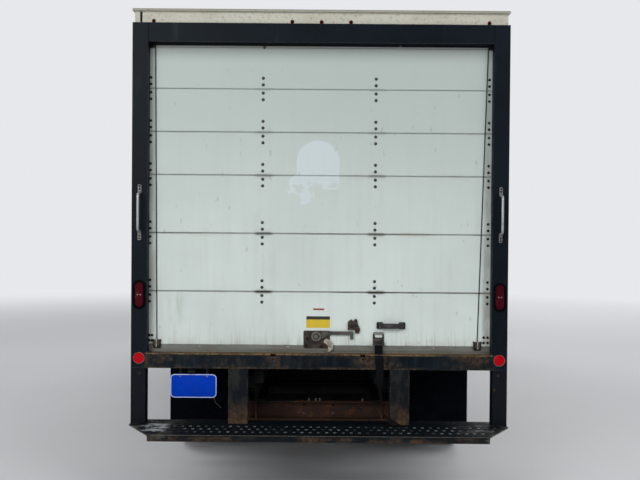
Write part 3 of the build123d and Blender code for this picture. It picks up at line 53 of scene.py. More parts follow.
rear_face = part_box("bumper_posts")[0].y
door_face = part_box("roll_door")[0].y
rail_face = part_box("door_bottom_rail")[0].y
deck_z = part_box("door_bottom_rail")[0].z
sill_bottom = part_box("rear_frame")[0].z
body_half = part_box("rear_frame")[1].x
step_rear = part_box("step_bumper")[0].y
step_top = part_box("step_bumper")[1].z
cap_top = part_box("roof_cap")[1].z
wheel_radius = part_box("front_tyre_left")[1].z / 2
front_axle_y = sum(corner.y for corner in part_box("front_tyre_left")) / 2
rear_axle_y = sum(corner.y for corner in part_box("rear_tyres_left")) / 2

# The seams between the roll-up door's panels, the rows of bolts round each, and the middles of the
# latch's boss and of the number plate
seam_heights = (1.358, 1.739, 2.119, 2.400, 2.681)
bolt_heights = [seam + drop for seam in seam_heights for drop in (0.072, 0.029, -0.025, -0.068)]
latch_x, latch_z = -0.019, deck_z + 0.109
plate_x, plate_z = -0.812, 0.7485

sides = ((-1, "left"), (1, "right"))
backwards = (0, -1, 0)


# Colours

def rgb(red, green, blue):
    """A colour as it is seen, 0 to 255 a channel, turned into the light values that shaders take."""
    def linear(value):
        share = value / 255
        return share / 12.92 if share <= 0.04045 else ((share + 0.055) / 1.055) ** 2.4
    return (linear(red), linear(green), linear(blue), 1.0)


def darker(colour, share):
    """The same hue with only that share of its light."""
    return tuple(channel * share for channel in colour[:3]) + (1.0,)


dust = rgb(150, 140, 124)
road_dirt = rgb(96, 88, 78)
rust_dark = rgb(74, 48, 34)
rust_light = rgb(126, 82, 50)
bare_steel = rgb(120, 120, 118)
white = rgb(206, 207, 203)


# Materials. Each is kept by the name of the piece or node that wears it, or else of its slot

finishes = {}


class Finish:
    """One material, built a layer at a time from the bare surface outwards."""

    def __init__(self, name, colour, roughness, metallic=0.0, shine=0.5):
        self.material = finishes[name] = bpy.data.materials.new(name)
        self.material.use_nodes = True
        self.tree = self.material.node_tree
        self.shader = self.tree.nodes["Principled BSDF"]
        self.place = self.node("TexCoord", out="Object")
        self.x, self.y, self.z = self.node("SeparateXYZ", {0: self.place}).node.outputs
        self.surface = {}
        for socket, value in (("Base Color", colour), ("Roughness", roughness), ("Metallic", metallic),
                              ("Specular IOR Level", shine)):
            self.wear(socket, value)

    def wear(self, socket, value):
        """Gives the surface a colour, gloss or slope in place of the one it had."""
        self.surface[socket] = value
        self.feed(self.shader.inputs[socket], value)

    def feed(self, socket, value):
        """Links a varying value to a socket, or sets a constant on it."""
        if isinstance(value, bpy.types.NodeSocket):
            self.tree.links.new(value, socket)
        else:
            socket.default_value = value

    def node(self, kind, inputs=(), out=0, **settings):
        """The wanted output of a new node, with its settings and inputs given."""
        made = self.tree.nodes.new("ShaderNode" + kind)
        for key, value in settings.items():
            setattr(made, key, value)
        for key, value in dict(inputs).items():
            self.feed(made.inputs[key], value)
        return made.outputs[out]

    def math(self, operation, first, second=0.0):
        """One sum, product or the like of two values."""
        return self.node("Math", {0: first, 1: second}, operation=operation)

    def times(self, first, *others):
        """Masks multiplied: 1 only where each of them is."""
        for other in others:
            first = self.math("MULTIPLY", first, other)
        return first

    def most(self, first, *others):
        """The strongest of several masks."""
        for other in others:
            first = self.math("MAXIMUM", first, other)
        return first

    def gap(self, value, middle=0.0):
        """How far a value is from a middle one, either way."""
        return self.math("ABSOLUTE", self.math("SUBTRACT", value, middle))

    def length(self, first, second):
        """The length of a line that reaches so far on two axes."""
        return self.math("SQRT", self.math("ADD", self.times(first, first), self.times(second, second)))

    def span(self, value, low, high, start=0.0, end=1.0):
        """Maps low to high of a value onto start to end, smoothly and without going past them."""
        inputs = {"Value": value, "From Min": low, "From Max": high, "To Min": start, "To Max": end}
        return self.node("MapRange", inputs, "Result", interpolation_type="SMOOTHSTEP")

    def noise(self, scale, low=0.4, high=0.6, stretch=(1, 1, 1), detail=5.0, rough=0.6, shift=0.0):
        """Blotches from 0 to 1, so many to a metre, drawn out along an axis by its stretch."""
        placed = self.node("Mapping", {"Vector": self.place, "Scale": [1 / s for s in stretch],
                                       "Location": [shift] * 3})
        blotches = self.node("TexNoise", {"Vector": placed, "Scale": scale, "Detail": detail,
                                          "Roughness": rough}, "Fac")
        return self.span(blotches, low, high)

    def ragged(self, scale, low, high, detail=8.0, rough=0.7, **more):
        """Blotches with torn edges, as rust and chipped paint have."""
        return self.noise(scale, low, high, detail=detail, rough=rough, **more)

    def within(self, x=None, y=None, z=None, soft=0.001):
        """1 between the ends given on each axis, fading out over a soft edge."""
        masks = []
        for value, ends in ((self.x, x), (self.y, y), (self.z, z)):
            if ends:
                away = self.gap(value, (ends[0] + ends[1]) / 2)
                half = (ends[1] - ends[0]) / 2
                masks.append(self.span(away, half + soft / 2, half - soft / 2))
        return self.times(*masks)

    def ring(self, x, z, radius, width):
        """1 on a ring round a place on an upright face, fading to its width on either side."""
        away = self.length(self.gap(self.x, x), self.gap(self.z, z))
        return self.span(self.gap(away, radius), width, 0.0)

    def edges(self, width):
        """1 along sharp edges, so wide."""
        rounded_off = self.node("Bevel", {"Radius": width}, samples=4)
        flat = self.node("NewGeometry", out="True Normal")
        alike = self.node("VectorMath", {0: rounded_off, 1: flat}, "Value", operation="DOT_PRODUCT")
        return self.span(self.math("SUBTRACT", 1.0, alike), 0.02, 0.2)

    def mix(self, mask, first, second):
        """Two colours mixed by a mask."""
        return self.node("Mix", {0: mask, 6: first, 7: second}, 2, data_type="RGBA")

    def blend(self, mask, first, second):
        """Two numbers mixed by a mask."""
        return self.node("Mix", {0: mask, 2: first, 3: second}, data_type="FLOAT")

    def tone(self, scale, first, second, low=0.35, high=0.65, **more):
        """A colour that wanders between two in blotches."""
        return self.mix(self.noise(scale, low, high, **more), first, second)

    def layer(self, mask, colour=None, roughness=None, metallic=None, amount=1.0):
        """Covers the surface with another colour and gloss where a mask, or each of several, says."""
        if isinstance(mask, tuple):
            mask = self.times(*mask)
        if amount != 1.0:
            mask = self.times(mask, amount)
        for socket, value, mix in (("Base Color", colour, self.mix), ("Roughness", roughness, self.blend),
                                   ("Metallic", metallic, self.blend)):
            if value is not None:
                self.wear(socket, mix(mask, self.surface[socket], value))

    def bump(self, height, distance, strength=1.0):
        """Raises the surface by a height map, so many metres at its most."""
        inputs = {"Strength": strength, "Distance": distance, "Height": height}
        if "Normal" in self.surface:
            inputs["Normal"] = self.surface["Normal"]
        self.wear("Normal", self.node("Bump", inputs))

    def grain(self, scale, distance, strength, low=0.3, high=0.7, **more):
        """Roughens the surface with lumps, so many to a metre and so many metres high."""
        self.bump(self.noise(scale, low, high, **more), distance, strength)


def painted(name, colour, roughness=0.4, dirt=0.3, rust=0.0, wear=0.3, low=0.45, high=1.2):
    """Paint with its shade varying, dirt thrown up from the road, chipped edges and rust."""
    f = Finish(name, colour, roughness)
    pale = tuple(min(1.0, channel * 1.25 + 0.004) for channel in colour[:3]) + (1.0,)
    f.layer(f.noise(2.2, 0.3, 0.7), pale, roughness + 0.08, amount=0.5)
    f.layer(f.noise(9, 0.45, 0.7, stretch=(1, 1, 6)), dust, 0.7, amount=0.25 * dirt)
    f.layer((f.span(f.z, high, low), f.noise(5, 0.25, 0.75)), road_dirt, 0.85, amount=dirt)
    if rust:
        spots = f.ragged(7, 0.66 - 0.25 * rust, 0.74 - 0.15 * rust)
        f.layer(spots, f.tone(40, rust_dark, rust_light), 0.9)
        f.bump(spots, 0.0006)
    if wear:
        chipped = (f.edges(0.004), f.noise(60, 0.42, 0.55, detail=7))
        f.layer(chipped, rust_dark if rust else bare_steel, 0.6, amount=wear)
    f.grain(160, 0.0002, 0.4, 0.2, 0.8, detail=2)


def bare_metal(name, colour, roughness, metallic=0.9, brushed=(1, 1, 1), rust=0.0, dirt=0.4):
    """Unpainted metal: brushed one way, dulled, dirty, rusting in spots where it is steel."""
    f = Finish(name, colour, roughness, metallic)
    f.layer(f.noise(26, 0.3, 0.7, stretch=brushed), darker(colour, 0.62), roughness + 0.12, amount=0.6)
    f.layer(f.noise(6, 0.45, 0.65), road_dirt, 0.8, 0.1, amount=dirt)
    if rust:
        spots = f.ragged(22, 0.62 - 0.25 * rust, 0.72 - 0.15 * rust)
        f.layer(spots, f.tone(70, rust_dark, rust_light), 0.92, 0.0)
        f.bump(spots, 0.0005)
    f.grain(300, 0.0002, 0.4, stretch=brushed, detail=2)


def underneath(name):
    """Chassis paint gone dull black with old oil and dried mud, rusting a little at its edges."""
    f = Finish(name, rgb(11, 12, 13), 0.7, shine=0.12)
    f.layer(f.noise(4, 0.35, 0.7), rgb(20, 20, 20), 0.8, amount=0.8)
    f.layer(f.ragged(11, 0.52, 0.72), rgb(44, 38, 33), 0.9, amount=0.5)
    f.layer(f.ragged(17, 0.64, 0.70, shift=2.0), rgb(58, 40, 30), 0.9, amount=0.6)
    f.grain(90, 0.0004, 0.6, detail=6)


def rusted(name):
    """Steel that has rusted all over to a dark brown, with paint left in places."""
    f = Finish(name, rgb(56, 38, 31), 0.85, shine=0.08)
    f.layer(f.noise(5, 0.35, 0.65, stretch=(2, 1, 1)), rgb(38, 30, 28), amount=0.8)
    f.layer(f.ragged(12, 0.5, 0.68), rgb(84, 54, 38), 0.9, amount=0.7)
    f.layer(f.noise(4, 0.58, 0.62, detail=8, shift=4.0), rgb(26, 30, 34), 0.6, amount=0.8)
    f.grain(70, 0.0006, 0.7, detail=8)


def bracket_metal(name):
    """Small brackets and bolts gone dark with old grease and rust."""
    f = Finish(name, rgb(38, 33, 29), 0.6, 0.1, shine=0.2)
    f.layer(f.noise(40, 0.40, 0.6, detail=6), rgb(22, 20, 19), 0.7, amount=0.8)
    f.layer(f.noise(70, 0.54, 0.68, detail=6), rgb(92, 72, 52), 0.7, amount=0.7)
    f.grain(180, 0.0003, 0.5, detail=3)


def bright_steel(name, colour=rgb(150, 146, 138)):
    """Steel kept bright by hands and rubbing, darker where grease has dried on it."""
    f = Finish(name, colour, 0.35, 0.6)
    f.layer(f.noise(60, 0.42, 0.65, detail=6), rgb(70, 63, 55), 0.6, 0.3, amount=0.8)
    f.grain(200, 0.0002, 0.5, detail=3)


def silvered(name):
    """Mirror glass with dust and dried drops on it."""
    f = Finish(name, rgb(196, 200, 202), 0.03, 1.0)
    f.layer(f.noise(9, 0.35, 0.75), dust, 0.4, 0.6, amount=0.15)
    f.layer(f.noise(60, 0.70, 0.74), dust, 0.6, 0.3, amount=0.3)


def rubber(name, colour, dirt, shine=0.25):
    """Black rubber greyed by dust, with a fine grain."""
    f = Finish(name, colour, 0.75, shine=shine)
    f.layer(f.noise(7, 0.35, 0.7), dust, 0.9, amount=0.22 * dirt)
    f.layer(f.noise(38, 0.45, 0.75), road_dirt, 0.9, amount=0.5 * dirt)
    f.grain(500, 0.0003, 0.5, detail=2)


def moulded(name, colour, roughness=0.5):
    """Moulded plastic with a fine leather grain."""
    f = Finish(name, colour, roughness)
    f.layer(f.noise(4, 0.35, 0.7), dust, 0.75, amount=0.06)
    cells = f.node("TexVoronoi", {"Vector": f.place, "Scale": 420}, "Distance",
                   feature="DISTANCE_TO_EDGE")
    f.bump(cells, 0.0004, 0.35)


def cloth(name, colour, weave=900.0):
    """Woven cloth: two crossed waves for the weave, and its dye a little uneven."""
    f = Finish(name, colour, 0.9, shine=0.15)
    f.layer(f.noise(8, 0.3, 0.7), darker(colour, 0.7), amount=0.6)
    across = f.math("SINE", f.times(f.x, weave))
    along = f.math("SINE", f.times(f.math("ADD", f.y, f.z), weave))
    f.bump(f.times(across, along), 0.0008, 0.6)


def glass(name, colour, alpha):
    """Tinted safety glass with a film of dust on it."""
    f = Finish(name, colour, 0.05, shine=0.6)
    film = f.noise(3, 0.3, 0.8)
    f.layer(film, dust, 0.35, amount=0.12)
    f.wear("Alpha", f.span(film, 0.0, 1.0, alpha, alpha + 0.12))


def lens(name, colour, ribs=180.0, sideways=False):
    """A moulded lamp lens with ribs across it, so many to a metre."""
    f = Finish(name, colour, 0.3, shine=0.04)
    f.layer(f.noise(5, 0.4, 0.75), darker(colour, 0.55), 0.25, amount=0.6)
    if name == "lamp_red":
        # The round reflectors, below the load floor, throw back a brighter red
        f.layer(f.span(f.z, deck_z + 0.010, deck_z), rgb(172, 0, 18))
    f.layer(f.noise(30, 0.5, 0.8), dust, 0.7, amount=0.06)
    f.bump(f.math("SINE", f.times(f.x if sideways else f.z, ribs * math.tau)), 0.0006, 0.8)


def planks(name):
    """A laminated hardwood deck over steel bearers; underneath, near black as painted shade, with
    blotches of grime.
    """
    f = Finish(name, rgb(112, 84, 58), 0.6, shine=0.15)
    f.layer(f.noise(5, 0.35, 0.65, stretch=(0.2, 8, 1)), rgb(78, 56, 38), 0.7, amount=0.8)
    # Painted shade: the underside near black, as the shade under the floor, with grime blotched over it
    below = f.span(f.z, deck_z - 0.030, deck_z - 0.034)
    f.layer(below, rgb(6, 6, 7), 0.8)
    f.layer((below, f.noise(9, 0.4, 0.65)), rgb(18, 17, 16), 0.85, amount=0.7)
    f.layer((below, f.noise(14, 0.6, 0.68, detail=8)), rgb(34, 26, 22), 0.9)
    board_width = 0.032
    boards = f.math("SINE", f.times(f.x, math.tau / board_width))
    f.bump(f.span(boards, -1.0, -0.9), 0.0008)


def sticker(name, colour, band=None):
    """A printed sticker with no print left on it but a dark band between two heights."""
    f = Finish(name, colour, 0.45)
    f.layer(f.noise(24, 0.35, 0.7), darker(colour, 0.78), amount=0.5)
    f.layer(f.noise(60, 0.60, 0.75), rgb(150, 132, 84), 0.7, amount=0.5)
    if band:
        f.layer((f.within(z=band), f.noise(90, 0.20, 0.36)), rgb(40, 36, 30))


def plate_paint(name):
    """A blank number plate: faded blue with a pale border."""
    f = Finish(name, rgb(0, 52, 168), 0.5, shine=0.04)
    f.layer(f.noise(14, 0.35, 0.7), rgb(0, 60, 180), amount=0.5)
    corner_x = f.most(f.math("SUBTRACT", f.gap(f.x, plate_x), 0.1220), 0.0)
    corner_z = f.most(f.math("SUBTRACT", f.gap(f.z, plate_z), 0.0490), 0.0)
    away = f.length(corner_x, corner_z)
    f.layer(f.span(away, 0.0216, 0.0226), rgb(190, 200, 212))
    f.layer(f.span(away, 0.0262, 0.0270), rgb(0, 60, 170))
    f.layer(f.noise(10, 0.5, 0.75), rgb(40, 62, 120), 0.8, amount=0.15)


def door_paint(name):
    """The roll-up door's baked paint: grime at the seams' bolts, splashes at its foot, the paler
    patch where a round sticker once was, and painted shade, darker towards the top, with a
    near-black painted shadow under the header."""
    f = Finish(name, rgb(209, 219, 215), 0.42, shine=0.25)
    f.layer(f.noise(1.3, 0.3, 0.7), rgb(192, 201, 197), 0.46, amount=0.7)
    f.layer(f.noise(2.4, 0.42, 0.8, stretch=(0.15, 1, 2.5)), rgb(184, 186, 180), 0.5, amount=0.35)
    across = f.gap(f.x)
    gaps = [f.gap(f.z, height) for height in seam_heights]
    at_seam = f.most(*[f.span(gap, 0.0075, 0.001) for gap in gaps])
    by_seam = f.most(*[f.span(gap, 0.030, 0.0) for gap in gaps])
    by_column = f.span(f.gap(across, 0.369), 0.085, 0.0)
    f.layer((by_seam, by_column, f.noise(34, 0.2, 0.75)), rgb(122, 96, 72), 0.7, amount=0.8)
    f.layer(at_seam, rgb(104, 102, 94), 0.7, amount=0.55)
    along = f.noise(3.2, 0.42, 0.66, stretch=(1.5, 1, 0.3))
    f.layer((at_seam, along), rgb(84, 74, 62), 0.75, amount=0.85)
    f.layer((at_seam, f.span(by_column, 0.0, 0.5)), rgb(42, 37, 32), 0.8, amount=0.9)
    hinges = (f.span(by_seam, 0.6, 0.95), f.span(by_column, 0.1, 0.6))
    f.layer(hinges, rgb(50, 43, 36), 0.8, amount=0.8)
    smears = f.noise(5, 0.5, 0.7, stretch=(2, 1, 0.4))
    f.layer((by_seam, smears), rgb(160, 148, 132), amount=0.45)
    at_side = f.span(across, 1.055, 1.085)
    blotch = f.noise(9, 0.38, 0.6, stretch=(0.5, 1, 1.6), shift=2.0)
    f.layer(at_side, rgb(168, 172, 164), 0.55, amount=0.25)
    f.layer((at_side, blotch), rgb(130, 122, 104), 0.75, amount=0.4)

    # Painted shade: the door darker towards the top and darker still just under the header, the last
    # seam, and a near-black painted shadow in the gap under the header and in its top corners
    f.layer(f.span(f.z, 1.0, 2.9), rgb(170, 181, 177), amount=0.9)
    f.layer(f.span(f.z, 2.84, 2.965), rgb(122, 127, 125), amount=0.8)
    f.layer(f.within(z=(2.9490, 2.9525), soft=0.002), rgb(70, 66, 62), amount=0.8)
    # Painted shadow, near black: in the door's top corners and in the gap under the header
    corner = f.times(f.span(across, 1.086, 1.090), f.span(f.z, 2.940, 2.948))
    f.layer(f.most(corner, f.span(f.z, 2.960, 2.964)), rgb(14, 17, 20), 0.8)

    # Splashes and streaks at the foot, and a drip over the lower left corner
    streaks = f.noise(8, 0.5, 0.72, stretch=(0.16, 1, 3), shift=3.0)
    f.layer((streaks, f.span(f.z, 1.20, 1.01)), rgb(152, 140, 122), 0.7, amount=0.5)
    f.layer((f.span(f.z, 1.09, 1.0), f.noise(13, 0.3, 0.7)), rgb(160, 152, 138), 0.7, amount=0.3)
    drip = f.within(x=(-0.98, -0.90), z=(1.16, 1.34), soft=0.08)
    f.layer((drip, f.noise(12, 0.35, 0.7, stretch=(0.4, 1, 3))), rgb(152, 149, 132), amount=0.45)

    # The patch: a round head over a torn foot
    patch = f.most(f.span(f.ring(-0.016, 2.208, 0.0, 0.150), 0.0, 0.02),
                   f.within(x=(-0.156, 0.124), z=(2.03, 2.208)),
                   f.span(f.ring(-0.115, 2.035, 0.0, 0.110), 0.0, 0.02))
    torn = f.times(f.span(f.z, 2.105, 2.035), f.noise(15, 0.48, 0.53, detail=3, shift=5.0))
    f.layer((patch, f.math("SUBTRACT", 1.0, torn)), rgb(202, 214, 219), 0.36, amount=0.55)
    scratches = f.noise(26, 0.74, 0.76, stretch=(1, 1, 2), detail=1, shift=7.0)
    f.layer(scratches, rgb(140, 136, 130), amount=0.3)
    f.grain(220, 0.0002, 0.3, detail=2)


def cap_paint(name):
    """The roof cap: old cream enamel, speckled and stained, with a band of painted shade near its
    top, and open at its corner joint, painted near black there as its shadow.
    """
    f = Finish(name, rgb(188, 187, 174), 0.5, shine=0.2)
    f.layer(f.noise(7, 0.4, 0.7, stretch=(2, 1, 1)), rgb(168, 166, 150), 0.6, amount=0.7)
    f.layer(f.ragged(48, 0.52, 0.66, detail=7), rgb(126, 118, 98), 0.7, amount=0.6)
    # Painted shade: a darker band near the top, cast by the roof's lip
    f.layer(f.span(f.z, cap_top - 0.016, cap_top - 0.006), rgb(122, 119, 106), 0.6, amount=0.8)
    # Painted shadow: near black in the open corner joint
    joint = (f.within(x=(-1.174, -1.159)), f.span(f.z, cap_top - 0.016, cap_top - 0.018))
    f.layer(joint, rgb(12, 13, 14), 0.8)
    f.grain(60, 0.0004, 0.4)


def frame_paint(name):
    """The rear frame's navy paint: glossy and scuffed, rusting through along the sill."""
    f = Finish(name, rgb(8, 16, 23), 0.42, shine=0.08)
    f.layer(f.noise(2.6, 0.35, 0.7), rgb(14, 24, 32), 0.5, amount=0.7)
    f.layer(f.noise(10, 0.58, 0.78, stretch=(1, 1, 5)), rgb(48, 56, 62), 0.6, amount=0.3)
    scuffs = (f.edges(0.005), f.noise(40, 0.40, 0.55, detail=7))
    f.layer(scuffs, rgb(96, 92, 88), 0.55, 0.3, amount=0.6)

    # Rust on the sill: along both its edges, in patches, round two bolts and at its ends
    across = f.gap(f.x)
    at_sill = f.span(f.z, deck_z + 0.012, deck_z - 0.004)
    top_edge = f.times(f.span(f.z, deck_z - 0.016, deck_z - 0.002),
                       f.noise(9, 0.34, 0.6, stretch=(2, 1, 1)))
    low_edge = f.times(f.span(f.z, deck_z - 0.076, deck_z - 0.096),
                       f.noise(12, 0.36, 0.6, stretch=(2, 1, 1)))
    patches = f.times(f.noise(3.6, 0.46, 0.64, stretch=(1.6, 1, 1.5), shift=3.0),
                      f.ragged(22, 0.36, 0.64, detail=9, rough=0.72, stretch=(1, 1, 1.4)))
    rings = f.times(f.most(f.ring(0.284, deck_z - 0.030, 0.0, 0.050),
                           f.ring(-0.297, deck_z - 0.030, 0.0, 0.065)),
                    f.ragged(26, 0.30, 0.62, shift=6.0))
    ends = f.times(f.span(across, 0.74, 1.05), f.within(x=(-1.13, 1.13), soft=0.05),
                   f.ragged(11, 0.40, 0.60, detail=9, stretch=(1.4, 1, 1), shift=8.0))
    middle = f.times(f.most(top_edge, low_edge, patches, rings), f.within(x=(-1.13, 1.13), soft=0.08))
    rusty = f.times(f.most(middle, ends), at_sill)
    f.layer(rings, rgb(92, 60, 42), 0.85, amount=0.5)
    f.layer((at_sill, f.noise(14, 0.45, 0.75, stretch=(0.5, 1, 3))), rgb(36, 48, 52), amount=0.5)
    f.layer(rusty, f.tone(38, rgb(46, 40, 34), rgb(88, 72, 54)), 0.8, amount=0.75)

    # The sill's worn lip with a notch at two places, each painted near black as the shade inside
    # it, the header's welded corners, and chips low down
    lip = f.within(x=(-1.12, 1.12), z=(deck_z - 0.006, deck_z + 0.004), soft=0.003)
    worn = f.tone(50, rgb(84, 66, 46), rgb(132, 108, 78), 0.4, 0.6)
    f.layer((lip, f.noise(7, 0.30, 0.5, stretch=(3, 1, 1))), worn, 0.8, amount=0.9)
    depth = (deck_z - 0.016, deck_z - 0.003)
    # Painted shadow: near black where the lip is notched
    notch_shadows = f.most(f.within(x=(0.266, 0.299), z=depth), f.within(x=(-0.313, -0.281), z=depth))
    f.layer(notch_shadows, rgb(3, 4, 5), 0.9)
    welds = (f.span(f.gap(across, 1.117), 0.0035, 0.001), f.span(f.z, 2.9, 2.95))
    f.layer(welds, rgb(3, 6, 9), 0.8, amount=0.9)
    f.layer((f.ragged(13, 0.70, 0.74, shift=4.0), f.span(f.z, 2.2, 1.0)), rust_light, 0.85, amount=0.8)
    f.bump(rusty, 0.0005)
    f.grain(140, 0.0002, 0.4, 0.2, 0.8, detail=2)


def post_paint(name):
    """The step's posts: dark paint, mottled, with rust climbing from their feet."""
    f = Finish(name, rgb(11, 17, 23), 0.5, shine=0.1)
    inner = f.within(x=(-0.62, 0.62), soft=0.1)
    f.layer((inner, f.ragged(13, 0.42, 0.60, stretch=(1, 1, 1.7))), rgb(44, 46, 42), 0.7, amount=0.6)
    climbing = f.times(f.span(f.z, 0.68, 0.50), f.ragged(8, 0.30, 0.60))
    edge = f.times(f.edges(0.012), f.noise(9, 0.4, 0.6))
    tone = f.tone(36, rgb(58, 44, 36), rgb(96, 74, 54))
    f.layer((inner, f.most(climbing, edge)), tone, 0.85, amount=0.9)
    f.layer(f.ragged(14, 0.64, 0.69, rough=0.72, shift=1.5), tone, 0.85, amount=0.8)
    f.grain(60, 0.0005, 0.6, detail=6)


def step_steel(name):
    """The step's plate: black paint worn grey by boots, a bright worn rim and a rusty edge under it."""
    f = Finish(name, rgb(8, 14, 19), 0.6, shine=0.1)
    f.layer(f.noise(6, 0.40, 0.7, stretch=(2, 1, 1)), rgb(22, 29, 33), 0.7, amount=0.7)
    worn = (f.span(f.gap(f.x), 0.80, 1.10), f.ragged(15, 0.50, 0.60, stretch=(2, 1, 1)))
    f.layer(worn, rgb(100, 98, 92), 0.5, 0.2, amount=0.7)
    scraped = (f.within(x=(-1.10, -0.96), y=(step_rear + 0.10, rear_face - 0.01), soft=0.05),
               f.ragged(20, 0.46, 0.52, detail=7, stretch=(2.4, 1, 1), shift=1.0))
    f.layer(scraped, rgb(176, 182, 188), 0.4, 0.2)
    tone = f.tone(44, rgb(40, 32, 27), rgb(84, 66, 50))
    f.layer(f.ragged(8, 0.62, 0.70, detail=9, rough=0.72, shift=2.0), tone, 0.9, amount=0.6)
    below = (f.span(f.z, step_top - 0.004, step_top - 0.010),
             f.noise(11, 0.42, 0.62, detail=8, stretch=(2.5, 1, 1)))
    f.layer(below, tone, 0.9, amount=0.85)
    rim = (f.edges(0.005), f.noise(12, 0.26, 0.46, stretch=(2, 1, 1)),
           f.span(f.z, step_top - 0.020, step_top))
    f.layer(rim, rgb(150, 142, 128), 0.45, 0.4, amount=0.9)
    f.grain(90, 0.0005, 0.6)


def button_paint(name):
    """Black paint on the step's gripping buttons, their tops pale: partly paint worn to bare steel,
    partly a painted highlight.
    """
    f = Finish(name, rgb(8, 14, 18), 0.5, shine=0.15)
    # The pale tops: partly wear to bare steel, partly a painted highlight where light catches them
    worn = (f.span(f.z, step_top + 0.0012, step_top + 0.0026), f.noise(11, 0.34, 0.62, detail=3))
    f.layer(worn, rgb(140, 150, 154), 0.4, 0.3)
    f.layer(f.noise(20, 0.58, 0.74), rust_dark, 0.9, amount=0.5)


def door_gear(name):
    """The door's ironwork, each casting its own colour: rusty latch plate, dark lever, bright claw,
    brown keeper, black pull handle, and a buckle with a bright bar."""
    f = Finish(name, rgb(62, 54, 46), 0.6, 0.3)
    flush = f.span(f.y, door_face - 0.0065, door_face - 0.0055)
    proud = f.span(f.y, door_face - 0.0055, door_face - 0.0065)

    def spot(left, right, low, high):
        """1 between two places across, and two heights over the load floor."""
        return f.within(x=(left, right), z=(deck_z + low, deck_z + high))

    plate = f.tone(22, rgb(38, 31, 28), rgb(68, 54, 44), 0.40, 0.6, detail=8)
    f.layer((f.within(x=(-0.104, 0.071)), flush), plate, 0.8, 0.2)
    lever = f.tone(26, rgb(88, 86, 82), rgb(58, 54, 50), 0.42, 0.6, detail=7)
    f.layer((spot(-0.055, 0.223, 0.078, 0.145), proud), lever, 0.45, 0.5)
    grooves = f.most(*[f.ring(latch_x, latch_z, *ring) for ring in ((0.0165, 0.005), (0.0355, 0.004))])
    f.layer(grooves, rgb(34, 30, 28), 0.8, 0.2)
    claw = f.tone(40, rgb(178, 174, 164), rgb(128, 116, 100), 0.4, 0.7)
    f.layer((spot(0.030, 0.093, 0.006, 0.097), proud), claw, 0.4, 0.6)
    keeper = f.tone(30, rgb(30, 27, 26), rgb(74, 64, 54), 0.44, 0.64, detail=7)
    f.layer(spot(0.184, 0.270, 0.146, 0.240), keeper, 0.7, 0.3)
    handle = f.tone(30, rgb(28, 28, 32), rgb(62, 60, 62), 0.45)
    f.layer(spot(0.370, 0.568, 0.155, 0.210), handle, 0.5, 0.2)
    buckle = f.tone(34, rgb(36, 35, 36), rgb(84, 76, 68), 0.45)
    f.layer(spot(0.349, 0.427, 0.045, 0.140), buckle, 0.5, 0.4)
    f.layer(spot(0.355, 0.421, 0.124, 0.134), rgb(150, 146, 138), 0.4, 0.6)
    f.layer((f.edges(0.002), f.noise(50, 0.3, 0.5)), rgb(168, 162, 152), 0.35, 0.8, amount=0.6)
    f.grain(120, 0.0004, 0.6)


def grab_paint(name):
    """The grab handles: pale worn bars on greyer feet."""
    f = Finish(name, rgb(118, 118, 116), 0.45, 0.4)
    f.layer(f.span(f.y, rear_face - 0.006, rear_face - 0.010), rgb(176, 178, 180), 0.35, 0.6)
    f.layer(f.noise(18, 0.45, 0.65, stretch=(1, 1, 3)), rgb(70, 70, 72), 0.6, amount=0.45)
    f.grain(160, 0.0002, 0.5, detail=3)


# What the parts wear: first by kind of material, then the ones made for a single part
underneath("chassis_black")
underneath("plate_holder")
rusted("rusty_steel")
bare_metal("cast_iron", rgb(84, 82, 80), 0.6, 0.6, rust=0.5)
bare_metal("exhaust_steel", rgb(150, 140, 128), 0.45, rust=0.6, brushed=(1, 6, 1))
bare_metal("body_rail", rgb(176, 178, 179), 0.42, brushed=(1, 1, 14), dirt=0.3)
bare_metal("galvanised", rgb(128, 128, 126), 0.5, 0.7, rust=0.6)
bare_metal("door_rail", rgb(126, 128, 121), 0.5, 0.5, brushed=(14, 1, 1), dirt=0.5)
bare_metal("door_bolts", rgb(58, 57, 52), 0.5, 0.3, dirt=0.3)
painted("tank_steel", rgb(18, 18, 19), 0.5, dirt=0.45, rust=0.2)
painted("body_white", white, 0.52, dirt=0.5, wear=0.0, low=0.8, high=1.5)
painted("cab_white", white, 0.30, dirt=0.35, wear=0.0, low=0.5, high=1.0)
painted("handle_black", rgb(26, 27, 30), 0.45, dirt=0.3, rust=0.5, wear=0.9)
painted("bumper_grey", rgb(196, 197, 196), 0.35, dirt=0.5, wear=0.5)
painted("wheel_white", rgb(190, 190, 186), 0.45, dirt=0.7, rust=0.2)
lens("lamp_red", rgb(66, 3, 16))
lens("lamp_amber", rgb(220, 120, 20))
lens("lamp_clear", rgb(206, 210, 210), 90.0, sideways=True)
# Painted highlights: the pale domes on the tail lamps' lenses wear this
lens("lamp_highlights", rgb(150, 112, 116))
cloth("webbing", rgb(8, 10, 15), 1400.0)
cloth("seat_cloth", rgb(76, 77, 80))
rubber("flap_rubber", rgb(1, 5, 11), 0.03, shine=0.03)
rubber("tyre", rgb(26, 26, 27), 0.8)
moulded("mirror_black", rgb(26, 26, 27))
moulded("interior_grey", rgb(70, 70, 72))
moulded("grille_grey", rgb(58, 59, 61), 0.45)
glass("glass", rgb(40, 52, 52), 0.35)
planks("floor_wood")
plate_paint("number_plate")
door_paint("door_grey")
door_gear("door_hardware")
frame_paint("frame_navy")
cap_paint("roof_cap")
post_paint("bumper_posts")
step_steel("step_bumper")
button_paint("step_buttons")
grab_paint("grab_handles")
sticker("door_label", rgb(206, 176, 30), (1.1785, 1.202))
sticker("door_mark", rgb(140, 34, 30))
bright_steel("latch_rivet", rgb(112, 108, 102))
bright_steel("cable_ends", rgb(186, 184, 178))
bright_steel("plate_wire", rgb(96, 88, 80))
bright_steel("beam_bolts", rgb(118, 114, 106))
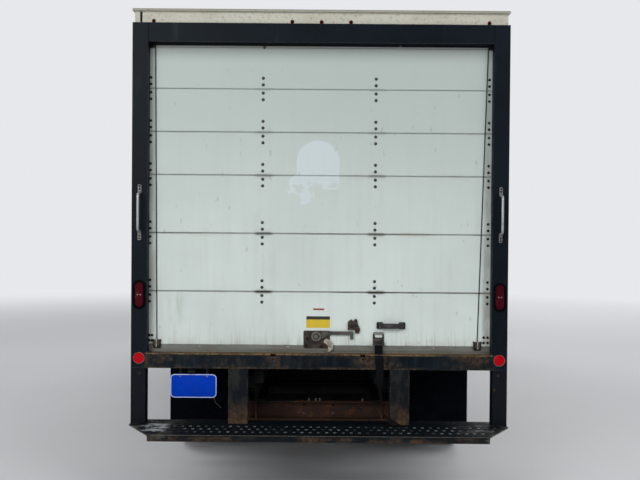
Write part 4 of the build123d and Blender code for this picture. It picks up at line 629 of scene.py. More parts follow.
for name in ("rail_screws", "lamp_rims", "door_lock_left", "door_lock_right"):
    bright_steel(name)
for name in ("lift_cables", "edge_bolts", "handle_bolts", "post_bolts", "cable_anchors"):
    bracket_metal(name)
for name in ("mirror_glass_left", "mirror_glass_right"):
    silvered(name)

for entry in frame["record"]["subparts"]:
    data = nodes[entry["node"]].data
    data.materials.clear()
    data.materials.append(finishes.get(entry["node"]) or finishes[entry["material_slot"]])
    for polygon in data.polygons:
        polygon.material_index = 0


# Shapes

def outward(origin, direction):
    """The frame at a place: its z points out along the direction, its y as near up as it can."""
    out = Vector(direction).normalized()
    up = Vector((0, 0, 1)) if abs(out.z) < 0.9 else Vector((0, 1, 0))
    across = up.cross(out).normalized()
    turned = Matrix((across, out.cross(across), out)).transposed()
    return Matrix.Translation(origin) @ turned.to_4x4()


def circle(radius, steps=24, start=0.0):
    """Points round a circle."""
    angles = [start + math.tau * step / steps for step in range(steps)]
    return [(radius * math.cos(angle), radius * math.sin(angle)) for angle in angles]


def rounded(width, height, radius, steps=5):
    """The outline of a rectangle with round corners, about its own middle."""
    outline = []
    for corner, (sx, sy) in enumerate(((1, 1), (-1, 1), (-1, -1), (1, -1))):
        for step in range(steps + 1):
            angle = math.pi / 2 * (corner + step / steps)
            outline.append((sx * (width / 2 - radius) + radius * math.cos(angle),
                            sy * (height / 2 - radius) + radius * math.sin(angle)))
    return outline


def bent(corners, radius, steps=5):
    """Points round a closed outline with its corners rounded."""
    corners = [Vector(c) for c in corners]
    outline = []
    for before, corner, after in zip(corners[-1:] + corners, corners, corners[1:] + corners[:1]):
        start = corner + (before - corner).normalized() * radius
        end = corner + (after - corner).normalized() * radius
        for step in range(steps + 1):
            t = step / steps
            outline.append(start * (1 - t) ** 2 + corner * 2 * t * (1 - t) + end * t ** 2)
    return outline


def smooth_route(points, steps):
    """Points read along a curved line through the given ones."""
    route = [Vector(p) for p in points]
    route = [2 * route[0] - route[1]] + route + [2 * route[-1] - route[-2]]
    read = []
    for step in range(steps + 1):
        place = step / steps * (len(route) - 3)
        i = min(int(place), len(route) - 4)
        t = place - i
        a, b, c, d = route[i:i + 4]
        read.append(0.5 * (2 * b + (c - a) * t + (2 * a - 5 * b + 4 * c - d) * t ** 2
                           + (3 * b - a - 3 * c + d) * t ** 3))
    return read


class Shape:
    """A piece built up in mesh code, in the frame of the solids."""

    def __init__(self):
        self.mesh = bmesh.new()

    def ring(self, place, points):
        """New vertices at points given in the frame at a place."""
        return [self.mesh.verts.new(place @ Vector(point)) for point in points]

    def skin(self, first, second):
        """Faces between two rings of as many vertices, or a ring and a single point."""
        for i in range(max(len(first), len(second))):
            corners = [first[i % len(first)], first[(i + 1) % len(first)],
                       second[(i + 1) % len(second)], second[i % len(second)]]
            corners = list(dict.fromkeys(corners))
            if len(corners) > 2:
                self.mesh.faces.new(corners)

    def block(self, first, second):
        """A box between two opposite corners."""
        for vert in bmesh.ops.create_cube(self.mesh, size=1)["verts"]:
            vert.co = [a + (share + 0.5) * (b - a) for a, b, share in zip(first, second, vert.co)]

    def prism(self, outline, place, depth, start=0.0, hole=None):
        """A flat outline drawn out along its frame's z, with a hole of as many points if there is one."""
        low, high = [self.ring(place, [(u, v, w) for u, v in outline]) for w in (start, start + depth)]
        self.skin(low, high)
        if hole is None:
            self.mesh.faces.new(low)
            self.mesh.faces.new(high)
            return
        inner_low, inner_high = [self.ring(place, [(u, v, w) for u, v in hole])
                                 for w in (start, start + depth)]
        self.skin(inner_low, inner_high)
        self.skin(low, inner_low)
        self.skin(high, inner_high)

    def lathe(self, profile, place, steps=20):
        """A turned form: radius and height pairs, spun about its frame's z."""
        rings = []
        for radius, height in profile:
            points = circle(radius, steps) if radius else [(0, 0)]
            rings.append(self.ring(place, [(u, v, height) for u, v in points]))
        for first, second in zip(rings, rings[1:]):
            self.skin(first, second)

    def loft(self, sections, closed=False):
        """A skin through sections that each hold as many points, capped or closed on itself."""
        rings = [self.ring(Matrix.Identity(4), section) for section in sections]
        for first, second in zip(rings, rings[1:]):
            self.skin(first, second)
        if closed:
            self.skin(rings[-1], rings[0])
        else:
            self.mesh.faces.new(rings[0])
            self.mesh.faces.new(rings[-1])

    def tube(self, points, radius, steps=8, closed=False):
        """A round bar along points."""
        points = [Vector(p) for p in points]
        befores, afters = points[:1] + points, points[1:] + points[-1:]
        if closed:
            befores, afters = points[-1:] + points, points[1:] + points[:1]
        sections, side = [], None
        for before, point, after in zip(befores, points, afters):
            ahead = (after - before).normalized()
            side = ahead.orthogonal() if side is None else side
            side = (side - ahead * side.dot(ahead)).normalized()
            across = ahead.cross(side)
            sections.append([point + u * side + v * across for u, v in circle(radius, steps)])
        self.loft(sections, closed)

    def done(self, name, slot, body="chassis", bevel=0.0, sharp=35):
        """Turns the shape into a piece that rides on a body, with its edges rounded off."""
        bmesh.ops.recalc_face_normals(self.mesh, faces=self.mesh.faces)
        data = bpy.data.meshes.new(name)
        self.mesh.to_mesh(data)
        self.mesh.free()
        piece = bpy.data.objects.new(name, data)
        bpy.context.scene.collection.objects.link(piece)
        if bevel:
            rounding = piece.modifiers.new("rounding", "BEVEL")
            rounding.width = bevel
            rounding.segments = 2
            rounding.limit_method = "ANGLE"
            ready = piece.evaluated_get(bpy.context.evaluated_depsgraph_get())
            piece.data = bpy.data.meshes.new_from_object(ready)
            piece.modifiers.clear()
        piece.data.shade_smooth()
        piece.data.set_sharp_from_angle(angle=math.radians(sharp))
        piece.data.materials.append(finishes.get(name) or finishes[slot])
        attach(piece, body)
        return piece


# Tyres and wheel nuts

# Half a tyre's outline: places across its tread, then how far down the carcass lies at others, as far
# as the bead
groove_middles, groove_half, deepest_cut = (0.016, 0.050), 0.0035, 0.020
tread_places = (0.004, 0.0122, 0.0128, 0.0192, 0.0198, 0.032, 0.0462, 0.0468, 0.0532, 0.0538, 0.060,
                0.070, 0.0795)
carcass = (
    (0.0850, 0.0030), (0.0900, 0.0080), (0.0945, 0.0145), (0.0975, 0.0230), (0.0995, 0.0330),
    (0.1040, 0.0460), (0.1065, 0.0500), (0.1060, 0.0540), (0.1090, 0.0660), (0.1112, 0.0790),
    (0.1115, 0.0860), (0.1108, 0.0960), (0.1080, 0.1120), (0.1040, 0.1280), (0.0990, 0.1430),
    (0.0960, 0.1490), (0.0975, 0.1530), (0.0945, 0.1570), (0.0890, 0.1600), (0.0860, 0.1655),
    (0.0760, 0.1660), (0.0700, 0.1560),
)


def tread_cut(across, step):
    """How deep the tread is cut at a place across it, on one step round the tyre."""
    away = abs(across)
    if any(abs(away - middle) < groove_half for middle in groove_middles):
        return 0.010
    if away > 0.058:
        return 0.006 if step % 8 < 2 else 0.0
    return 0.005 if (step + (4 if away > groove_middles[0] else 0)) % 8 == 0 else 0.0


def make_tyre(shape, middle, axle_y, steps=240):
    """One tyre: a rounded carcass from bead to shoulder, with grooves and siped blocks in its tread."""
    half = [(x, 0.0) for x in tread_places] + list(carcass)
    sections = []
    for x, drop in [(-x, drop) for x, drop in reversed(half)] + half:
        section = []
        for step, (u, v) in enumerate(circle(1.0, steps)):
            radius = wheel_radius - drop - (tread_cut(x, step) if drop < deepest_cut else 0.0)
            section.append((middle + x, axle_y + radius * u, wheel_radius + radius * v))
        sections.append(section)
    shape.loft(sections, closed=True)


nut_circle = 0.088
nut_profile = ((0.0195, 0.0), (0.0195, 0.003), (0.01599, 0.005), (0.01599, 0.021), (0.01287, 0.024),
               (0.0085, 0.024), (0.0085, 0.035), (0.0065, 0.037), (0, 0.037))
for side, name in sides:
    for end, plural, axle_y, middles, disc_face in (
        ("front", "", front_axle_y, (0.870,), 0.995),
        ("rear", "s", rear_axle_y, (0.7865, 1.0485), 0.9275),
    ):
        wheel = f"{end}_wheel{plural}_{name}"
        tyre = Shape()
        for middle in middles:
            make_tyre(tyre, side * middle, axle_y)
        piece = tyre.done(f"{end}_tread_{name}", "tyre", body=wheel, sharp=26)
        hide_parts(f"{end}_tyre{plural}_{name}")
        nuts = Shape()
        for u, v in circle(nut_circle, 8, start=math.pi / 8):
            place = outward((side * disc_face, axle_y + u, wheel_radius + v), (side, 0, 0))
            nuts.lathe(nut_profile, place, 6)
        nuts.done(f"{end}_nuts_{name}", "galvanised", body=wheel)


# Bolts and screws on the faces that look backwards

def carriage_bolt(shape, place, radius, rise):
    """A domed bolt head on its washer."""
    shape.lathe([(radius, 0.0), (radius, 0.0012), (radius * 0.86, 0.0018), (radius * 0.80, rise * 0.55),
                 (radius * 0.5, rise * 0.93), (0, rise)], place, 14)


def hex_bolt(shape, place, width, height):
    """A hexagon head on a round washer."""
    shape.lathe([(width * 0.72, 0.0), (width * 0.72, 0.0016), (0, 0.0016)], place, 16)
    shape.lathe([(width / 2, 0.001), (width / 2, height * 0.85), (width * 0.42, height), (0, height)],
                place, 6)


def hollow_nut(shape, place):
    """A small flanged nut with its hole open."""
    shape.lathe([(0.0090, 0.0), (0.0090, 0.0010), (0.0068, 0.0016), (0.0064, 0.0050), (0.0034, 0.0052),
                 (0.0032, 0.0006), (0, 0.0006)], place, 12)


def fasten(name, slot, *sets):
    """One piece of bolts, in sets of like ones: their head, its sizes, the face and their places (x, z)."""
    shape = Shape()
    for head, size, face, places in sets:
        for x, z in places:
            head(shape, outward((x, face, z), backwards), *size)
    shape.done(name, slot)


def grid(columns, heights, base=0.0):
    """Places at every height over a base, in every column."""
    return [(x, base + z) for x in columns for z in heights]


handle_low, handle_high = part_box("grab_handles")
handle_columns = (handle_low.x + 0.011, handle_high.x - 0.011)
handle_heights = (handle_low.z + 0.011, handle_low.z + 0.029, handle_high.z - 0.029, handle_high.z - 0.011)
plate_columns = (-0.898, -0.725)
hinge_columns = (-0.378, 0.359)
side_columns = (-1.111, 1.099)
cable_columns = (-1.063, 1.035)

fasten("door_bolts", "galvanised",
       (carriage_bolt, (0.0105, 0.006), door_face, grid(hinge_columns, bolt_heights)),
       (carriage_bolt, (0.010, 0.008), door_face, [(-0.372, 2.953)]))
fasten("edge_bolts", "rusty_steel",
       (hollow_nut, (), door_face, grid(side_columns, bolt_heights)),
       (hollow_nut, (), door_face, grid((-1.114, -1.096, 1.078, 1.104), (1.034, 1.068))))
fasten("latch_bolts", "rusty_steel",
       (hex_bolt, (0.015, 0.006), door_face - 0.005,
        [(x, deck_z + rise) for x, rise in ((-0.078, 0.094), (-0.086, 0.048), (0.014, 0.044))]),
       (hex_bolt, (0.015, 0.006), door_face - 0.016,
        [(x, deck_z + rise) for x, rise in ((0.210, 0.176), (0.247, 0.150))]),
       (carriage_bolt, (0.0065, 0.004), door_face - 0.006,
        grid((0.383, 0.555), (0.196, 0.169), deck_z)),
       (carriage_bolt, (0.0065, 0.004), door_face - 0.005, grid((0.360, 0.416), (0.104,), deck_z)))
fasten("rail_screws", "galvanised",
       (carriage_bolt, (0.008, 0.004), rail_face, grid((-0.785, -0.204, 0.752), (0.034,), deck_z)))
fasten("handle_bolts", "rusty_steel",
       (carriage_bolt, (0.0065, 0.004), rear_face - 0.005, grid(handle_columns, handle_heights)))
fasten("plate_bolts", "galvanised",
       (carriage_bolt, (0.006, 0.003), rear_face - 0.0014, grid(plate_columns, (0.812,))))
fasten("post_bolts", "rusty_steel",
       (hex_bolt, (0.016, 0.008), rear_face, grid((-1.160, 1.160), (0.829,))),
       (hex_bolt, (0.016, 0.008), rear_face, grid((0.284, -0.297), (-0.030,), deck_z)))


# Roll-up door: stickers, the latch's boss, cable ends

label_low, label_high = Vector((-0.085, 1.1235)), Vector((0.069, 1.2000))
label_size = label_high - label_low
label_middle = (label_low + label_high) / 2
label = Shape()
label.prism(rounded(label_size.x, label_size.y, 0.004),
            outward((label_middle.x, door_face, label_middle.y), backwards), 0.0006)
label.done("door_label", "door_grey")
mark = Shape()
mark.prism(rounded(0.073, 0.011, 0.002), outward((-0.005, door_face, 1.246), backwards), 0.0006)
mark.done("door_mark", "door_grey")

boss = outward((latch_x, door_face - 0.019, latch_z), backwards)
rivet = Shape()
half_disc = [(0.010 * math.cos(math.pi * step / 10), 0.0013 + 0.0085 * math.sin(math.pi * step / 10))
             for step in range(11)]
for turn in (0.6, 0.6 + math.pi):
    rivet.prism(half_disc, boss @ Matrix.Rotation(turn, 4, "Z"), 0.003)
rivet.lathe([(0.0115, -0.001), (0.0115, 0.001), (0, 0.001)], boss)
rivet.lathe([(0.0320, 0.0), (0.0310, 0.0022), (0.0285, 0.0030), (0.0225, 0.0030), (0.0205, 0.0016),
             (0.0200, 0.0)], boss, 32)
rivet.done("latch_rivet", "galvanised", bevel=0.0006)

anchors = Shape()
terminals = Shape()
for x in cable_columns:
    for side in (-1, 1):
        fork = [(x + side * away, door_face - out, deck_z + rise) for away, out, rise in (
            (0.012, 0.012, 0.028), (0.021, 0.012, 0.046), (0.018, 0.012, 0.066), (0.027, 0.010, 0.082))]
        anchors.tube(smooth_route(fork, 12), 0.0055)
    anchors.lathe([(0.008, 0.0), (0.008, 0.010), (0.005, 0.012), (0, 0.012)],
                  outward((x, door_face - 0.006, deck_z + 0.036), backwards), 12)
    terminals.tube([(x, door_face - 0.022, deck_z + rise) for rise in (0.034, 0.050, 0.066, 0.084)],
                   0.0036)
anchors.done("cable_anchors", "rusty_steel", sharp=50)
terminals.done("cable_ends", "galvanised")


# Pull strap: webbing from the buckle, over the sill, turned on its edge and down to the step

strap_x = 0.388
strap_width, strap_thickness = 0.052, 0.0024
strap_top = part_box("pull_strap")[1].z
bar_y = door_face - 0.022
strap_line = smooth_route([(strap_x + aside, y, z) for aside, y, z in (
    (0.0, bar_y, strap_top), (0.0, bar_y - 0.001, deck_z + 0.022),
    (0.0, rear_face - 0.0125, deck_z - 0.010), (0.004, rear_face - 0.018, 0.880),
    (0.008, rear_face - 0.026, 0.760), (0.012, rear_face - 0.031, 0.660),
    (0.022, rear_face - 0.033, 0.600), (0.050, rear_face - 0.034, 0.562),
    (0.096, rear_face - 0.036, 0.532), (0.142, rear_face - 0.040, step_top + 0.004),
)], 90)
strap = Shape()
sections = []
for point, before, after in zip(strap_line, strap_line[:1] + strap_line, strap_line[1:] + strap_line[-1:]):
    ahead = (after - before).normalized()
    twist = min(1.0, max(0.0, (0.93 - point.z) / 0.30))
    turn = math.pi / 2 * twist * twist * (3 - 2 * twist)
    across = Vector((math.cos(turn), math.sin(turn), 0))
    across = (across - ahead * across.dot(ahead)).normalized()
    up = across.cross(ahead)
    sections.append([point + u * across + v * up
                     for u, v in rounded(strap_width, strap_thickness, strap_thickness / 2.2, 2)])
strap.loft(sections)
piece = strap.done("pull_webbing", "webbing", sharp=50)
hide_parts("pull_strap")


# Rear frame: rubber round the tail lamps, two small pale domes on each lens as painted highlights,
# rims of the reflectors

lamp_x, lamp_z = body_half - 0.052, deck_z + 0.378
grommets = Shape()
rims = Shape()
lens_highlights = Shape()
for x in (-lamp_x, lamp_x):
    place = outward((x, rear_face, lamp_z), backwards)
    grommets.prism(rounded(0.0776, 0.1846, 0.0386), place, 0.014, -0.0098,
                   hole=rounded(0.0545, 0.1615, 0.0270))
    grommets.prism(rounded(0.0840, 0.1910, 0.0418), place, 0.0035, hole=rounded(0.0700, 0.1770, 0.0348))
    rims.tube([(x + u, rear_face - 0.0035, deck_z - 0.032 + v) for u, v in circle(0.0362, 32)],
              0.0016, 6, closed=True)
    # Two pale domes on each lens: a painted highlight
    for shift in (-0.009, 0.009):
        lens_highlights.lathe([(0.0050, 0.0), (0.0050, 0.0012), (0.0035, 0.0020), (0, 0.0024)],
                      outward((x + shift, rear_face - 0.0078, lamp_z), backwards), 16)
grommets.done("lamp_grommets", "flap_rubber", bevel=0.0015)
rims.done("reflector_rims", "galvanised")
lens_highlights.done("lamp_highlights", "lamp_clear")


# Number plate, blank, with its holder, hanger tabs, lamp and a bent wire

tab_half = 0.008
plate_place = outward((plate_x, rear_face + 0.004, plate_z), backwards)
number_plate = Shape()
number_plate.prism(rounded(0.300, 0.155, 0.028, 8), plate_place, 0.0014, 0.004)
number_plate.done("number_plate", "frame_navy", bevel=0.0004)
holder = Shape()
holder.prism(rounded(0.298, 0.153, 0.028, 8), plate_place, 0.003, 0.001)
for x in plate_columns:
    for depth, low in ((0.009, 0.806), (0.030, sill_bottom - 0.003)):
        holder.block((x - tab_half, rear_face + 0.006, low), (x + tab_half, rear_face + depth, sill_bottom))
holder.block((-0.849, rear_face - 0.012, 0.829), (-0.801, rear_face + 0.020, 0.852))
holder.block((-0.829, rear_face + 0.004, 0.845), (-0.821, rear_face + 0.008, sill_bottom))
holder.done("plate_holder", "chassis_black", bevel=0.001)
wire = Shape()
wire.tube(smooth_route([(x, rear_face + inward, z) for x, inward, z in (
    (-0.690, 0.006, 0.684), (-0.676, 0.004, 0.664), (-0.668, 0.002, 0.640), (-0.642, 0.0, 0.618),
    (-0.633, 0.0, 0.606))], 24), 0.0013, 6)
wire.done("plate_wire", "galvanised")


# Under the tail: the hitch beam's bolts, anti-roll bar, cross tube, brakes, pipes and bump stops

beam_y, beam_top = -2.930, 0.574
beam_bolts = Shape()
for x in (-0.408, -0.069, -0.020, 0.008, 0.306):
    hex_bolt(beam_bolts, outward((x, beam_y, beam_top), (0, 0, 1)), 0.013, 0.018)
beam_bolts.done("beam_bolts", "galvanised")

tube_y, tube_z, tube_end = -2.250, 0.528, 0.385
brake_x = 0.597
half_bar = ((0.330, -0.188, 0.503), (0.400, -0.170, 0.503), (0.430, -0.100, 0.509), (0.430, 0.040, 0.521))
bar_link = ((0.430, 0.036, 0.513), (0.430, 0.036, 0.590))
pipe_route = ((0.060, -0.060, 0.520), (0.200, -0.053, 0.446), (0.400, -0.052, 0.412),
              (0.560, -0.052, 0.412), (0.596, -0.060, 0.420))
stop_blocks = (((0.405, -0.050, 0.600), (0.606, 0.050, 0.650)),
               ((0.593, -0.050, 0.564), (0.606, 0.050, 0.602)),
               ((0.500, -0.034, 0.540), (0.594, 0.034, 0.602)))


def by_axle(side, places):
    """Places given across, along from the rear axle and up, on one side of the vehicle."""
    return [(side * x, rear_axle_y + along, z) for x, along, z in places]


roll_bar = Shape()
roll_bar.tube(smooth_route(by_axle(-1, reversed(half_bar)) + by_axle(1, half_bar), 60), 0.018, 12)
cross_tube = Shape()
cross_tube.tube([(x, tube_y, tube_z) for x in (-tube_end, 0, tube_end)], 0.042, 24)
pipes = Shape()
stops = Shape()
for side, name in sides:
    roll_bar.tube(by_axle(side, bar_link), 0.009)
    cross_tube.block((side * tube_end, tube_y - 0.055, tube_z - 0.050),
                     (side * (tube_end - 0.008), tube_y + 0.055, tube_z + 0.057))
    pipes.tube(smooth_route(by_axle(side, pipe_route), 30), 0.0042)
    for block in stop_blocks:
        stops.block(*by_axle(side, block))
    hub = outward((side * brake_x, rear_axle_y, wheel_radius), (side, 0, 0))
    backplate = Shape()
    backplate.lathe([(0.052, 0.0), (0.110, 0.0), (0.120, 0.006), (0.182, 0.006), (0.190, 0.010),
                     (0.190, 0.016), (0.052, 0.016), (0.052, 0.0)], hub, 40)
    backplate.done(f"brake_plate_{name}", "chassis_black")
    drum = Shape()
    drum.lathe([(0.060, 0.085), (0.120, 0.085), (0.165, 0.080), (0.176, 0.070), (0.178, 0.040),
                (0.186, 0.036), (0.186, 0.020), (0.160, 0.020), (0.158, 0.060), (0.060, 0.070),
                (0.060, 0.085)], hub, 48)
    drum.done(f"brake_drum_{name}", "cast_iron", body=f"rear_wheels_{name}")
roll_bar.done("roll_bar", "chassis_black")
cross_tube.done("cross_tube", "chassis_black", bevel=0.002)
pipes.done("brake_pipes", "chassis_black")
stops.done("bump_stops", "chassis_black", bevel=0.004)


# Step bumper: raised gripping buttons in three rows

button_pitch, button_margin = 0.051, 0.034
square_end, corner_cut = rear_face - 0.045, 0.172
buttons = Shape()
for row, back in enumerate((0.080, 0.150, 0.220)):
    y = rear_face - back
    half = body_half - corner_cut * (square_end - y) / (square_end - step_rear) - button_margin
    count = int(half // button_pitch)
    for number in range(-count, count + 1):
        x = (number + 0.5 * (row % 2)) * button_pitch
        if abs(x) < half:
            buttons.lathe([(0.0125, 0.0), (0.0105, 0.0022), (0.0070, 0.0030), (0.0055, 0.0022), (0, 0.0010)],
                          outward((x, y, step_top), (0, 0, 1)), 12)
buttons.done("step_buttons", "handle_black")


# Box sides: rivets along the rails, and joint strips between the panels with their own rivets

rails_low, rails_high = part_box("box_rails")
wall_front = rails_high.y - 0.060
wall_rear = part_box("box_wall_left")[0].y
wall_half = -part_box("box_wall_left")[0].x
joint_half, joint_rise = 0.020, 0.0015
rail_rivets, joint_rivets = 62, 28
rivets = Shape()
joints = Shape()
for side, name in sides:
    for z in (rails_low.z + 0.030, rails_low.z + 0.104):
        for number in range(rail_rivets):
            y = wall_rear + 0.02 + (wall_front - wall_rear - 0.04) * number / (rail_rivets - 1)
            rivets.lathe([(0.0055, 0.0), (0.0045, 0.0020), (0, 0.0030)],
                         outward((side * body_half, y, z), (side, 0, 0)), 8)
    for number in (1, 2, 3):
        y = wall_rear + (wall_front - wall_rear) * number / 4
        joints.block((side * (wall_half - 0.001), y - joint_half, rails_low.z + 0.124),
                     (side * (wall_half + joint_rise), y + joint_half, rails_high.z - 0.073))
        for step in range(joint_rivets):
            z = rails_low.z + 0.16 + (rails_high.z - rails_low.z - 0.28) * step / (joint_rivets - 1)
            for shift in (-0.011, 0.011):
                rivets.lathe([(0.0050, 0.0), (0.0040, 0.0018), (0, 0.0024)],
                             outward((side * (wall_half + joint_rise), y + shift, z), (side, 0, 0)), 8)
rivets.done("side_rivets", "body_rail")
joints.done("side_joints", "body_rail", bevel=0.0006)


# Cab: rubber seals, wipers, mirror glasses, locks, lamp rims, turn lamps and the filler cap

def top_edge(node, axis):
    """How far out a pane reaches on an axis along its top edge."""
    corners = [v.co for v in nodes[node].data.vertices]
    top = max(c.z for c in corners)
    return max(abs(c[axis]) for c in corners if c.z > top - 0.003)


screen_low, screen_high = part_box("windscreen")
screen_top_y = top_edge("windscreen", 1)
screen_foot_x, screen_head_x = 0.826, 0.730
wiper_reach = 0.330
mirror_x, mirror_y, mirror_z = 1.175, 2.1446, 1.465
lock_x, lock_y, lock_z = 1.010, 1.400, 1.115
headlamp_inner_x, turn_lamp_x = 0.420, 0.705
filler_y, filler_z = 0.640, 0.640


def on_screen(x, z, proud):
    """The place at x and a height, so far proud of the windscreen's outer face."""
    share = (z - screen_low.z) / (screen_high.z - screen_low.z)
    face_y = screen_high.y + (screen_top_y - screen_high.y) * share
    return Vector((x, face_y + proud * 0.73, z + proud * 0.68))


seal = Shape()
seal.tube(bent([on_screen(x, z, 0.003) for x, z in (
    (-screen_foot_x, screen_low.z - 0.004), (screen_foot_x, screen_low.z - 0.004),
    (screen_head_x, screen_high.z + 0.004), (-screen_head_x, screen_high.z + 0.004),
)], 0.045), 0.0085, closed=True)
seal.done("windscreen_seal", "flap_rubber", sharp=60)

wipers = Shape()
for pivot_x in (-0.080, 0.560):
    blade_x = pivot_x - wiper_reach
    pivot = Vector((pivot_x, screen_high.y + 0.030, screen_low.z - 0.012))
    middle = on_screen(blade_x, screen_low.z + 0.062, 0.020)
    elbow = pivot.lerp(middle, 0.25) + Vector((0, 0.012, 0.008))
    blade = [on_screen(blade_x + reach, screen_low.z + 0.058 - 0.055 * reach, 0.011)
             for reach in (-0.230, -0.115, 0.0, 0.115, 0.230)]
    wipers.lathe([(0.013, -0.030), (0.013, 0.006), (0.010, 0.010), (0, 0.010)],
                 outward(pivot, (0, 0.5, 0.85)), 14)
    wipers.tube((pivot + Vector((0, 0.004, 0.007)), elbow, middle), 0.0045)
    wipers.tube(blade, 0.0060, 6)
    wipers.tube((blade[1], middle, blade[3]), 0.0035, 6)
wipers.done("wipers", "mirror_black", sharp=50)

for side, name in sides:
    pane, door = f"door_glass_{name}", f"door_{name}"
    pane_low, pane_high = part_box(pane)
    foot_x = max(abs(pane_low.x), abs(pane_high.x))
    lean = (foot_x - top_edge(pane, 0)) / (pane_high.z - pane_low.z)
    corners = ((pane_low.y, pane_low.z), (pane_high.y, pane_low.z), (pane_high.y, pane_low.z + 0.125),
               (top_edge(pane, 1), pane_high.z), (pane_low.y, pane_high.z))
    edge = [(side * (foot_x - (z - pane_low.z) * lean + 0.002), y, z) for y, z in corners]
    pane_seal = Shape()
    pane_seal.tube(bent(edge, 0.030), 0.0065, closed=True)
    pane_seal.done(f"window_seal_{name}", "flap_rubber", body=door, sharp=60)
    mirror = Shape()
    mirror.prism(rounded(0.176, 0.286, 0.028), outward((side * mirror_x, mirror_y, mirror_z), backwards),
                 0.002)
    mirror.done(f"mirror_glass_{name}", "glass", body=door, bevel=0.0008)
    lock = Shape()
    lock.lathe([(0.0150, -0.004), (0.0150, 0.002), (0.0125, 0.0035), (0.0060, 0.0035), (0.0050, 0.0015),
                (0, 0.0015)], outward((side * lock_x, lock_y, lock_z), (side, 0, 0)), 20)
    lock.done(f"door_lock_{name}", "galvanised", body=door)

lamp_low, lamp_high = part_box("headlamps")
lamp_middle_z = (lamp_low.z + lamp_high.z) / 2
nose_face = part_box("grille")[1].y
lamp_rims = Shape()
turn_lamps = Shape()
for side, name in sides:
    inner, outer = side * headlamp_inner_x, side * lamp_high.x
    rim = [(x, nose_face - 0.002, z) for x, z in ((inner, lamp_low.z), (outer, lamp_low.z),
                                                  (outer, lamp_high.z), (inner, lamp_high.z))]
    lamp_rims.tube(bent(rim, 0.012), 0.0048, closed=True)
    lamp_rims.tube([((inner + outer) / 2 + u, lamp_high.y + 0.001, lamp_middle_z + v)
                    for u, v in circle(0.060, 36)], 0.0022, 6, closed=True)
    face = outward((side * turn_lamp_x, nose_face, lamp_middle_z), (0, 1, 0))
    lamp_rims.prism(rounded(0.072, 0.151, 0.010), face, 0.006, -0.002, hole=rounded(0.060, 0.139, 0.006))
    turn_lamps.prism(rounded(0.061, 0.140, 0.006), face, 0.005, -0.002)
lamp_rims.done("lamp_rims", "galvanised")
turn_lamps.done("turn_lamps", "lamp_amber", bevel=0.0015)

tank_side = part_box("fuel_tank")[0].x
filler = Shape()
filler.lathe([(0.034, -0.004), (0.034, 0.008), (0.048, 0.008), (0.048, 0.030), (0.044, 0.035),
              (0.014, 0.035), (0.012, 0.040), (0, 0.040)],
             outward((tank_side + 0.004, filler_y, filler_z), (-1, 0, 0)), 28)
filler.done("filler_cap", "galvanised")


# Seats: stuffed cushions on moulded bases

def pad(name, place, size):
    """A stuffed cushion: crowned, its sides pulled in between the corners, with two sewn channels."""
    crown = 0.22
    shape = Shape()
    bmesh.ops.create_cube(shape.mesh, size=2)
    bmesh.ops.subdivide_edges(shape.mesh, edges=shape.mesh.edges, cuts=19, use_grid_fill=True)
    for vert in shape.mesh.verts:
        u, v, w = vert.co / sum(abs(c) ** 7 for c in vert.co) ** (1 / 7)
        waist = 1 - 0.04 * (1 - w * w)
        x = size[0] / 2 * u * (1 - 0.04 * (1 - v * v)) * waist
        y = size[1] / 2 * v * (1 - 0.04 * (1 - u * u)) * waist
        z = size[2] / 2 * w * (1 - crown + crown * (1 - u * u) * (1 - v * v))
        for channel in (-0.5, 0.5):
            z -= 0.009 * w * math.exp(-((u - channel) / 0.035) ** 2)
        vert.co = place @ Vector((x, y, z))
    shape.done(name, "seat_cloth", sharp=60)


seat_low, seat_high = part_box("seats")
seat_x, seat_y = 0.430, seat_high.y - 0.258
recline = Matrix.Rotation(math.radians(90 + 9), 4, "X")
for side, name in sides:
    x = side * seat_x
    base = Shape()
    base.block((x - 0.185, seat_y - 0.170, seat_low.z + 0.001),
               (x + 0.185, seat_y + 0.170, seat_low.z + 0.214))
    piece = base.done(f"seat_base_{name}", "interior_grey", bevel=0.012)
    if name == "left":
        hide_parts("seats")
    pad(f"seat_cushion_{name}", Matrix.Translation((x, seat_y, seat_low.z + 0.285)), (0.490, 0.500, 0.140))
    pad(f"seat_back_{name}", Matrix.Translation((x, seat_y - 0.235, seat_low.z + 0.660)) @ recline,
        (0.480, 0.600, 0.110))


# Studio: a pale floor that fades into a pale background, a broad soft light and fills

backdrop = (0.80, 0.81, 0.83, 1)


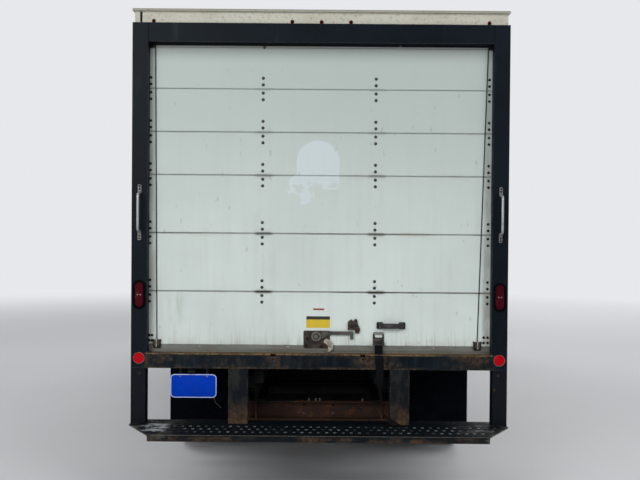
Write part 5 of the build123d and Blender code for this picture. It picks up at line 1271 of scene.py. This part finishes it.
def studio():
    """The floor, the world and the lamps."""
    bpy.ops.mesh.primitive_plane_add(size=160, location=(0, 0, 0))
    floor = bpy.context.object
    floor.name = "studio_floor"
    ground = Finish("studio_floor", rgb(214, 215, 217), 0.75, shine=0.2)
    ground.layer(ground.noise(0.4, 0.3, 0.7), rgb(208, 209, 211), amount=0.5)
    floor.data.materials.append(ground.material)
    seen = ground.node("LightPath", out="Is Camera Ray")
    glow = ground.node("Emission", {"Color": backdrop})
    far = ground.span(ground.length(ground.x, ground.y), 5.0, 17.0)
    fade = ground.node("MixShader", {0: ground.times(seen, far), 1: ground.shader.outputs[0], 2: glow})
    ground.feed(ground.tree.nodes["Material Output"].inputs["Surface"], fade)

    world = bpy.data.worlds.new("studio")
    bpy.context.scene.world = world
    world.use_nodes = True
    tree = world.node_tree
    sky = tree.nodes["Background"]
    sky.inputs["Color"].default_value = (0.80, 0.82, 0.85, 1)
    sky.inputs["Strength"].default_value = 0.30
    pale = tree.nodes.new("ShaderNodeBackground")
    pale.inputs["Color"].default_value = backdrop
    path = tree.nodes.new("ShaderNodeLightPath")
    join = tree.nodes.new("ShaderNodeMixShader")
    tree.links.new(path.outputs["Is Camera Ray"], join.inputs[0])
    tree.links.new(sky.outputs[0], join.inputs[1])
    tree.links.new(pale.outputs[0], join.inputs[2])
    tree.links.new(join.outputs[0], tree.nodes["World Output"].inputs["Surface"])

    for name, place, aim, size, power in (
        ("key", (-4.5, -11.0, 5.0), (0, -3.0, 1.1), 6.0, 500),
        ("fill", (6.0, -10.0, 6.0), (0, -3.0, 1.2), 5.0, 300),
        ("front", (5.0, 11.0, 8.0), (0, 2.0, 1.0), 7.0, 470),
        ("side", (-8.0, 1.5, 9.0), (0, 0, 1.6), 7.0, 360),
        ("other_side", (8.0, 1.0, 9.0), (0, 0, 1.6), 7.0, 310),
    ):
        lamp = bpy.data.lights.new(name, "AREA")
        lamp.shape = "DISK"
        lamp.size = size
        lamp.energy = power
        stand = bpy.data.objects.new(name, lamp)
        stand.location = place
        stand.rotation_euler = (Vector(aim) - Vector(place)).to_track_quat("-Z", "Y").to_euler()
        bpy.context.scene.collection.objects.link(stand)


def camera():
    """The photograph's view: from straight behind, 5 m from the rear frame, held a little askew."""
    eye = bpy.data.cameras.new("view")
    eye.lens = 43.5
    eye.sensor_width = 36.0
    eye.shift_y = 0.0089
    eye.clip_end = 250
    stand = bpy.data.objects.new("view", eye)
    stand.location = (0, rear_face - 5.0, 1.72)
    stand.rotation_euler = (math.radians(89.35), math.radians(-0.46), 0)
    bpy.context.scene.collection.objects.link(stand)
    bpy.context.scene.camera = stand


studio()
camera()
bpy.context.scene.view_settings.view_transform = "Standard"
